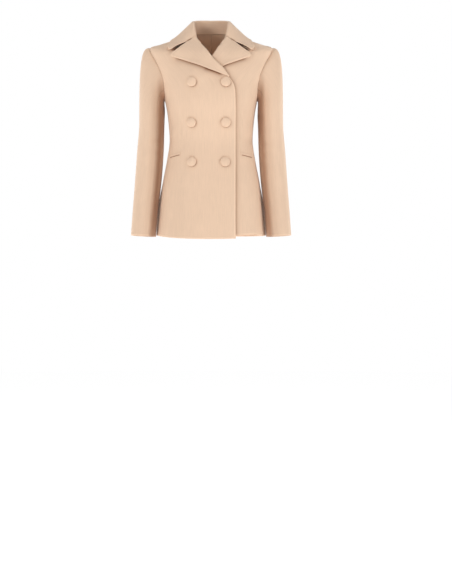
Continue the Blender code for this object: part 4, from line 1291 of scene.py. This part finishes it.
class Finish:
    """A material or a world being made: its nodes, and the one that they feed."""

    def __init__(self, owner, fed="Principled BSDF"):
        owner.use_nodes = True
        self.owner = owner
        self.tree = owner.node_tree
        self.fed = self.tree.nodes[fed]

    def put(self, node, values):
        """Set or link a node's sockets."""
        for name, value in values.items():
            found = [slot for slot in node.inputs if slot.identifier == name]
            slot = found[0] if found else node.inputs[name]
            source = value.socket if isinstance(value, Value) else value
            if isinstance(source, bpy.types.NodeSocket):
                self.tree.links.new(source, slot)
            else:
                slot.default_value = source

    def node(self, kind, settings, values, output=0):
        """An output of a new node of a kind, with its settings set first and then its sockets."""
        node = self.tree.nodes.new("ShaderNode" + kind)
        for name, value in settings.items():
            setattr(node, name, value)
        self.put(node, values)
        return node.outputs[output]

    def mark(self, name):
        """A number that the mesh keeps at each point."""
        return Value(self.node("Attribute", {"attribute_name": name}, {}, "Fac"))

    def noise(self, vector, scale, detail=2.0, roughness=0.55):
        """Soft noise from 0 to 1."""
        values = {"Vector": vector, "Scale": scale, "Detail": detail, "Roughness": roughness}
        return Value(self.node("TexNoise", {}, values, "Fac"))

    def mixed(self, factor, first, second):
        """A colour between two, by a factor."""
        values = {"Factor_Float": factor, "A_Color": first, "B_Color": second}
        return self.node("Mix", {"data_type": "RGBA"}, values, 2)

    def bump(self, height):
        """A normal from a height in metres."""
        return self.node("Bump", {}, {"Height": height, "Distance": 1.0, "Strength": 1.0}, "Normal")


def tinted(colour, *shares):
    """The colour with its channels at one share or at a share each, with its fourth number."""
    return (*np.clip(np.array(colour) * shares, 0, 1).tolist(), 1.0)


def weighted(total, fields, weights):
    """A number with fields added, each at its own weight."""
    for name, weight in weights.items():
        total = total + fields[name] * weight
    return total


def wool_finish(name, cloth, turned=False, covered=False):
    """Fine wool twill with a short nap: rib, nap, slight mottling, sunk seams and pressed edges, with painted
    shade and a painted highlight along pressed edges.
    """
    finish = Finish(bpy.data.materials.new(name))
    place = finish.node("UVMap", {"uv_map": CLOTH_MAP}, {}, "UV")
    across, up = (Value(finish.node("SeparateXYZ", {}, {"Vector": place}, axis)) * (1 / MM) for axis in "XY")
    space = finish.node("TexCoord", {}, {}, "Object")
    fields = {noise: finish.noise(space, *values) for noise, values in NOISES.items()}
    stretched = finish.node("VectorMath", {"operation": "MULTIPLY"}, {0: place, 1: SLUB})
    fields["slub"] = finish.noise(stretched, 1.0, 3.0)
    # the shade mark carries the shade painted under lapels, buttons and the notch and towards the body
    seam, edge, depth = (finish.mark(mark) for mark in ("seam", "edge", "shade"))
    pitch, line, stitch_length = (length / MM for length in (cloth.rib_pitch, cloth.edge_line, cloth.stitch))

    along_x, along_y = TWILL
    rib = (across * along_x + up * along_y).wave(pitch)
    pick = (across * along_y - up * along_x).wave(pitch * PICK[0])
    fields["weave"] = rib * (1 - PICK[1] + PICK[1] * pick)
    width, length, wander = PUCKER
    fields["groove"] = seam.bell(GROOVE_WIDTH)
    fields["pucker"] = seam.bell(width) * (across * along_x + up + wander * fields["mottle"]).wave(length)
    dashes = across.wave(stitch_length) * 0.5 + up.wave(stitch_length) * 0.5
    fields["stitch"] = (edge - line).bell(STITCH_WIDTH) * (0.5 + 0.5 * dashes)
    fields["roll"] = (edge - line * ROLL_AT).bell(ROLL_WIDTH)

    height = weighted(0.0, fields, RELIEF)
    if not covered:
        height = weighted(height, fields, SEWN_RELIEF) + fields["stitch"] * STITCH_RELIEF[turned]

    tone = weighted(TONE_MIDDLE, {name: fields[name] - 0.5 for name in TONES}, TONES)
    colour = finish.mixed(tone, *(tinted(cloth.colour, share) for share in TONE_RANGE))
    # painted highlight: the strip between a pressed edge and its worked line is drawn lighter
    past_line = (edge - line) * 3.0
    highlight_band = 1.0 / (1.0 + past_line.made("EXPONENT", past_line))
    colour = finish.mixed(highlight_band * EDGE_HIGHLIGHT[turned], colour, tinted(cloth.colour, EDGE_HIGHLIGHT_COLOUR))
    # painted shade in the sunk seams' grooves, and the darker stitched line
    colour = finish.mixed(weighted(0.0, fields, LINE_DARK), colour, tinted(cloth.colour, LINE_COLOUR))
    # painted shade: warm brown towards two thirds of the mark's depth, near black at its full depth
    colour = finish.mixed(depth * 1.5, colour, tinted(cloth.colour, *SHADED))
    colour = finish.mixed(depth * 3.0 - 2.0, colour, tinted(cloth.colour, *DEEPEST_SHADE))
    finish.put(finish.fed, {
        "Base Color": colour,
        "Roughness": 0.86 + 0.10 * fields["nap"] - 0.05 * fields["roll"],
        "Normal": finish.bump(height),
        "Specular IOR Level": 0.22,
        "Sheen Weight": cloth.sheen,
        "Sheen Roughness": 0.45,
        "Sheen Tint": (1.0, 0.90, 0.80, 1.0),
    })
    return finish.owner


def floor_finish(name, colour, glow):
    """Pale matt studio paint, faintly uneven."""
    finish = Finish(bpy.data.materials.new(name))
    space = finish.node("TexCoord", {}, {}, "Object")
    cloud = finish.noise(space, 1.3, 3.0)
    grain = finish.noise(space, 260.0, 2.0)
    finish.put(finish.fed, {
        "Base Color": finish.mixed(cloud * 0.5 + grain * 0.5, tinted(colour, 0.985), tinted(colour, 1.01)),
        "Roughness": 0.88 + 0.06 * grain,
        "Normal": finish.bump(grain * 4.0e-5),
        "Specular IOR Level": 0.2,
        "Emission Color": WHITE,
        "Emission Strength": glow,
    })
    return finish.owner


# --- settings, operators and the panel -----------------------------------------------------------------


class CoatCloth(bpy.types.PropertyGroup):
    """The cloth and how it is sewn."""

    colour: bpy.props.FloatVectorProperty(
        name="Colour", description="The wool's own colour", subtype="COLOR", size=3, min=0, max=1,
        default=(0.82, 0.592, 0.428))
    crease: bpy.props.FloatProperty(
        name="Soft folds", description="Depth of the soft folds against the made ones",
        subtype="FACTOR", min=0, max=2, default=1.0)
    seam_depth: bpy.props.FloatProperty(
        name="Seam depth", description="How far the cloth sinks along a seam", unit="LENGTH",
        min=0, max=0.003, default=0.0010)
    seam_width: bpy.props.FloatProperty(
        name="Seam width", description="How wide the cloth sinks beside a seam", unit="LENGTH",
        min=0.0005, max=0.01, default=0.0022)
    edge_line: bpy.props.FloatProperty(
        name="Edge line", description="Distance of the worked line from a pressed edge", unit="LENGTH",
        min=0.001, max=0.02, default=0.0055)
    stitch: bpy.props.FloatProperty(
        name="Stitch", description="Length of one stitch of the edge line", unit="LENGTH",
        min=0.001, max=0.01, default=0.0028)
    rib_pitch: bpy.props.FloatProperty(
        name="Rib pitch", description="Distance from one rib of the twill to the next", unit="LENGTH",
        min=0.0003, max=0.01, default=0.0011)
    sheen: bpy.props.FloatProperty(
        name="Sheen", description="How strongly the nap catches light along the rims",
        subtype="FACTOR", min=0, max=1, default=0.4)


class CoatButtons(bpy.types.PropertyGroup):
    """The covered buttons."""

    height: bpy.props.FloatProperty(
        name="Height", description="Height of a button's dome over its underside", unit="LENGTH",
        min=0.002, max=0.012, default=0.0070)


class CoatStage(bpy.types.PropertyGroup):
    """The floor, the lights and the camera."""

    floor_colour: bpy.props.FloatVectorProperty(
        name="Floor colour", description="The studio's floor", subtype="COLOR", size=3, min=0, max=1,
        default=(0.86, 0.86, 0.86))
    floor_glow: bpy.props.FloatProperty(
        name="Floor glow", description="How much light comes up through the floor", min=0, default=0.80)
    floor_size: bpy.props.FloatProperty(
        name="Floor size", description="Radius of the floor", unit="LENGTH", min=1, default=12.0)
    floor_height: bpy.props.FloatProperty(
        name="Floor height", description="The floor under the neck, as if the wearer stood on it",
        unit="LENGTH", default=-1.62)
    left_light: bpy.props.FloatProperty(
        name="Left light", description="Power of the soft light at the front left", unit="POWER", min=0,
        default=28.0)
    right_light: bpy.props.FloatProperty(
        name="Right light", description="Power of the soft light at the right", unit="POWER", min=0,
        default=25.0)
    top_light: bpy.props.FloatProperty(
        name="Top light", description="Power of the wide light overhead", unit="POWER", min=0, default=32.0)
    back_light: bpy.props.FloatProperty(
        name="Back light", description="Power of each soft light behind", unit="POWER", min=0, default=42.0)
    room_light: bpy.props.FloatProperty(
        name="Room light", description="Strength of the light from all round", min=0, default=0.22)
    distance: bpy.props.FloatProperty(
        name="Camera distance", description="How far the camera stands in front of the neck", unit="LENGTH",
        min=1, default=5.0)
    lens: bpy.props.FloatProperty(
        name="Lens", description="Focal length of the camera", unit="CAMERA", min=20, default=100.0)


def scene_finish(name, **words):
    """The coat's finish of this name, made once."""
    return bpy.data.materials.get(name) or wool_finish(name, bpy.context.scene.coat_cloth, **words)


def make_pieces(rows, held="hung", turned=False):
    """Make pieces from rows of name, cut and what it rests on; hung cloth is drawn down along its seams."""
    cloth = bpy.context.scene.coat_cloth
    finish = scene_finish("turned_wool_cloth" if turned else "wool_cloth", turned=turned)
    slot = "lapel_and_collar_cloth" if turned else "coat_cloth"
    for name, cut, rests_on in rows:
        if held == "hung":
            cut.sink_seams(cloth.seam_depth / MM, cloth.seam_width / MM)
        cut.piece("cloth_" + name, finish, slot, held, rests_on)
    return {"FINISHED"}


class COAT_OT_fronts(bpy.types.Operator):
    """Make both fronts with their darts"""

    bl_idname = "coat.fronts"
    bl_label = "Fronts"

    def execute(self, context):
        return make_pieces(("front_" + side, front_cut(right), ["collar"]) for right, side in SIDES)


class COAT_OT_side_panels(bpy.types.Operator):
    """Make the panels under the arms"""

    bl_idname = "coat.side_panels"
    bl_label = "Side panels"

    def execute(self, context):
        rows = (("side_panel_" + side, side_panel_cut(right), ["front_" + side]) for right, side in SIDES)
        return make_pieces(rows)


class COAT_OT_back(bpy.types.Operator):
    """Make both halves of the back"""

    bl_idname = "coat.back"
    bl_label = "Back"

    def execute(self, context):
        return make_pieces(("back_" + side, back_cut(right), ["collar"]) for right, side in SIDES)


class COAT_OT_sleeves(bpy.types.Operator):
    """Make the two-piece sleeves"""

    bl_idname = "coat.sleeves"
    bl_label = "Sleeves"

    def execute(self, context):
        parts = ((False, "sleeve_upper_"), (True, "sleeve_under_"))
        return make_pieces((part + side, sleeve_cut(right, under), ["front_" + side])
                           for right, side in SIDES for under, part in parts)


class COAT_OT_lapels(bpy.types.Operator):
    """Make the notched lapels"""

    bl_idname = "coat.lapels"
    bl_label = "Lapels"

    def execute(self, context):
        rows = (("lapel_" + side, lapel_cut(right), ["front_" + side]) for right, side in SIDES)
        return make_pieces(rows, "folded", turned=True)


class COAT_OT_collar(bpy.types.Operator):
    """Make the turned-down collar"""

    bl_idname = "coat.collar"
    bl_label = "Collar"

    def execute(self, context):
        rests_on = ["front_left", "front_right", "back_left", "back_right"]
        return make_pieces([("collar", collar_cut(), rests_on)], "folded", turned=True)


class COAT_OT_welts(bpy.types.Operator):
    """Make the pocket welts"""

    bl_idname = "coat.welts"
    bl_label = "Pocket welts"

    def execute(self, context):
        rows = (("pocket_welt_" + side, welt_cut(right), ["front_" + side]) for right, side in SIDES)
        return make_pieces(rows, "laid")


class COAT_OT_buttons(bpy.types.Operator):
    """Make the six covered buttons"""

    bl_idname = "coat.buttons"
    bl_label = "Buttons"

    def execute(self, context):
        height = context.scene.coat_buttons.height / MM
        finish = scene_finish("covered_button_cloth", covered=True)
        for node in BUTTONS:
            covered_button("covered_" + node, node, height, finish)
        return {"FINISHED"}


def area_light(name, place, size, power):
    """A broad light that looks at the coat's middle."""
    light = bpy.data.lights.new(name, "AREA")
    light.shape = "RECTANGLE"
    light.size, light.size_y = size
    light.energy = power
    lamp = added(name, light)
    lamp.location = place
    aim = (np.array(CAD_BOX[0]) + np.array(CAD_BOX[1])) / 2
    lamp.visible_camera = False
    lamp.rotation_euler = mathutils.Vector(aim - np.array(place)).to_track_quat("-Z", "Y").to_euler()


def studio_floor(stage):
    """A wide round floor, which runs into the white of the room."""
    turns = full_turn(FLOOR_SIDES)
    x, y = stage.floor_size * np.cos(turns), stage.floor_size * np.sin(turns)
    mesh = bpy.data.meshes.new("studio_floor")
    mesh.from_pydata([(*place, stage.floor_height) for place in zip(x, y)], [], [list(range(FLOOR_SIDES))])
    mesh.materials.append(floor_finish("studio_paint", stage.floor_colour, stage.floor_glow))
    added("studio_floor", mesh)


class COAT_OT_stage(bpy.types.Operator):
    """Make the floor, the soft lights and the camera"""

    bl_idname = "coat.stage"
    bl_label = "Stage"

    def execute(self, context):
        scene, stage = context.scene, context.scene.coat_stage
        studio_floor(stage)
        world = Finish(bpy.data.worlds.new("studio_light"), "World Output")
        room = world.node("Background", {}, {"Color": WHITE, "Strength": stage.room_light})
        paper = world.node("Background", {}, {"Color": WHITE, "Strength": 1.0})
        seen = world.node("LightPath", {}, {}, "Is Camera Ray")
        world.put(world.fed, {"Surface": world.node("MixShader", {}, {"Fac": seen, 1: room, 2: paper})})
        scene.world = world.owner
        for name, place, size in LIGHTS:
            area_light(name, place, size, getattr(stage, name))
        scene.view_settings.view_transform = "Standard"
        camera = added("camera", bpy.data.cameras.new("camera"))
        camera.data.lens = stage.lens
        camera.data.sensor_width = SENSOR
        camera.location = (CAMERA_X, -stage.distance, CAMERA_Z)
        camera.rotation_euler = (np.pi / 2, 0, 0)
        scene.camera = camera
        return {"FINISHED"}


GROUPS = {"coat_cloth": CoatCloth, "coat_buttons": CoatButtons, "coat_stage": CoatStage}
OPERATORS = (
    COAT_OT_stage, COAT_OT_fronts, COAT_OT_side_panels, COAT_OT_back, COAT_OT_sleeves,
    COAT_OT_lapels, COAT_OT_collar, COAT_OT_welts, COAT_OT_buttons,
)


class COAT_PT_panel(bpy.types.Panel):
    """The coat's settings and its pieces"""

    bl_idname = "COAT_PT_panel"
    bl_label = "Short fitted coat"
    bl_space_type = "VIEW_3D"
    bl_region_type = "UI"
    bl_category = "Coat"

    def draw(self, context):
        for key in GROUPS:
            box = self.layout.box()
            group = getattr(context.scene, key)
            for name in group.__annotations__:
                box.prop(group, name)
        for operator in OPERATORS:
            self.layout.operator(operator.bl_idname)


def register():
    for made in (*GROUPS.values(), *OPERATORS, COAT_PT_panel):
        bpy.utils.register_class(made)
    for key, group in GROUPS.items():
        setattr(bpy.types.Scene, key, bpy.props.PointerProperty(type=group))


def unregister():
    for key in GROUPS:
        delattr(bpy.types.Scene, key)
    for made in reversed((*GROUPS.values(), *OPERATORS, COAT_PT_panel)):
        bpy.utils.unregister_class(made)


def main():
    register()
    for operator in OPERATORS:
        group, name = operator.bl_idname.split(".")
        getattr(getattr(bpy.ops, group), name)()


if __name__ == "__main__":
    main()
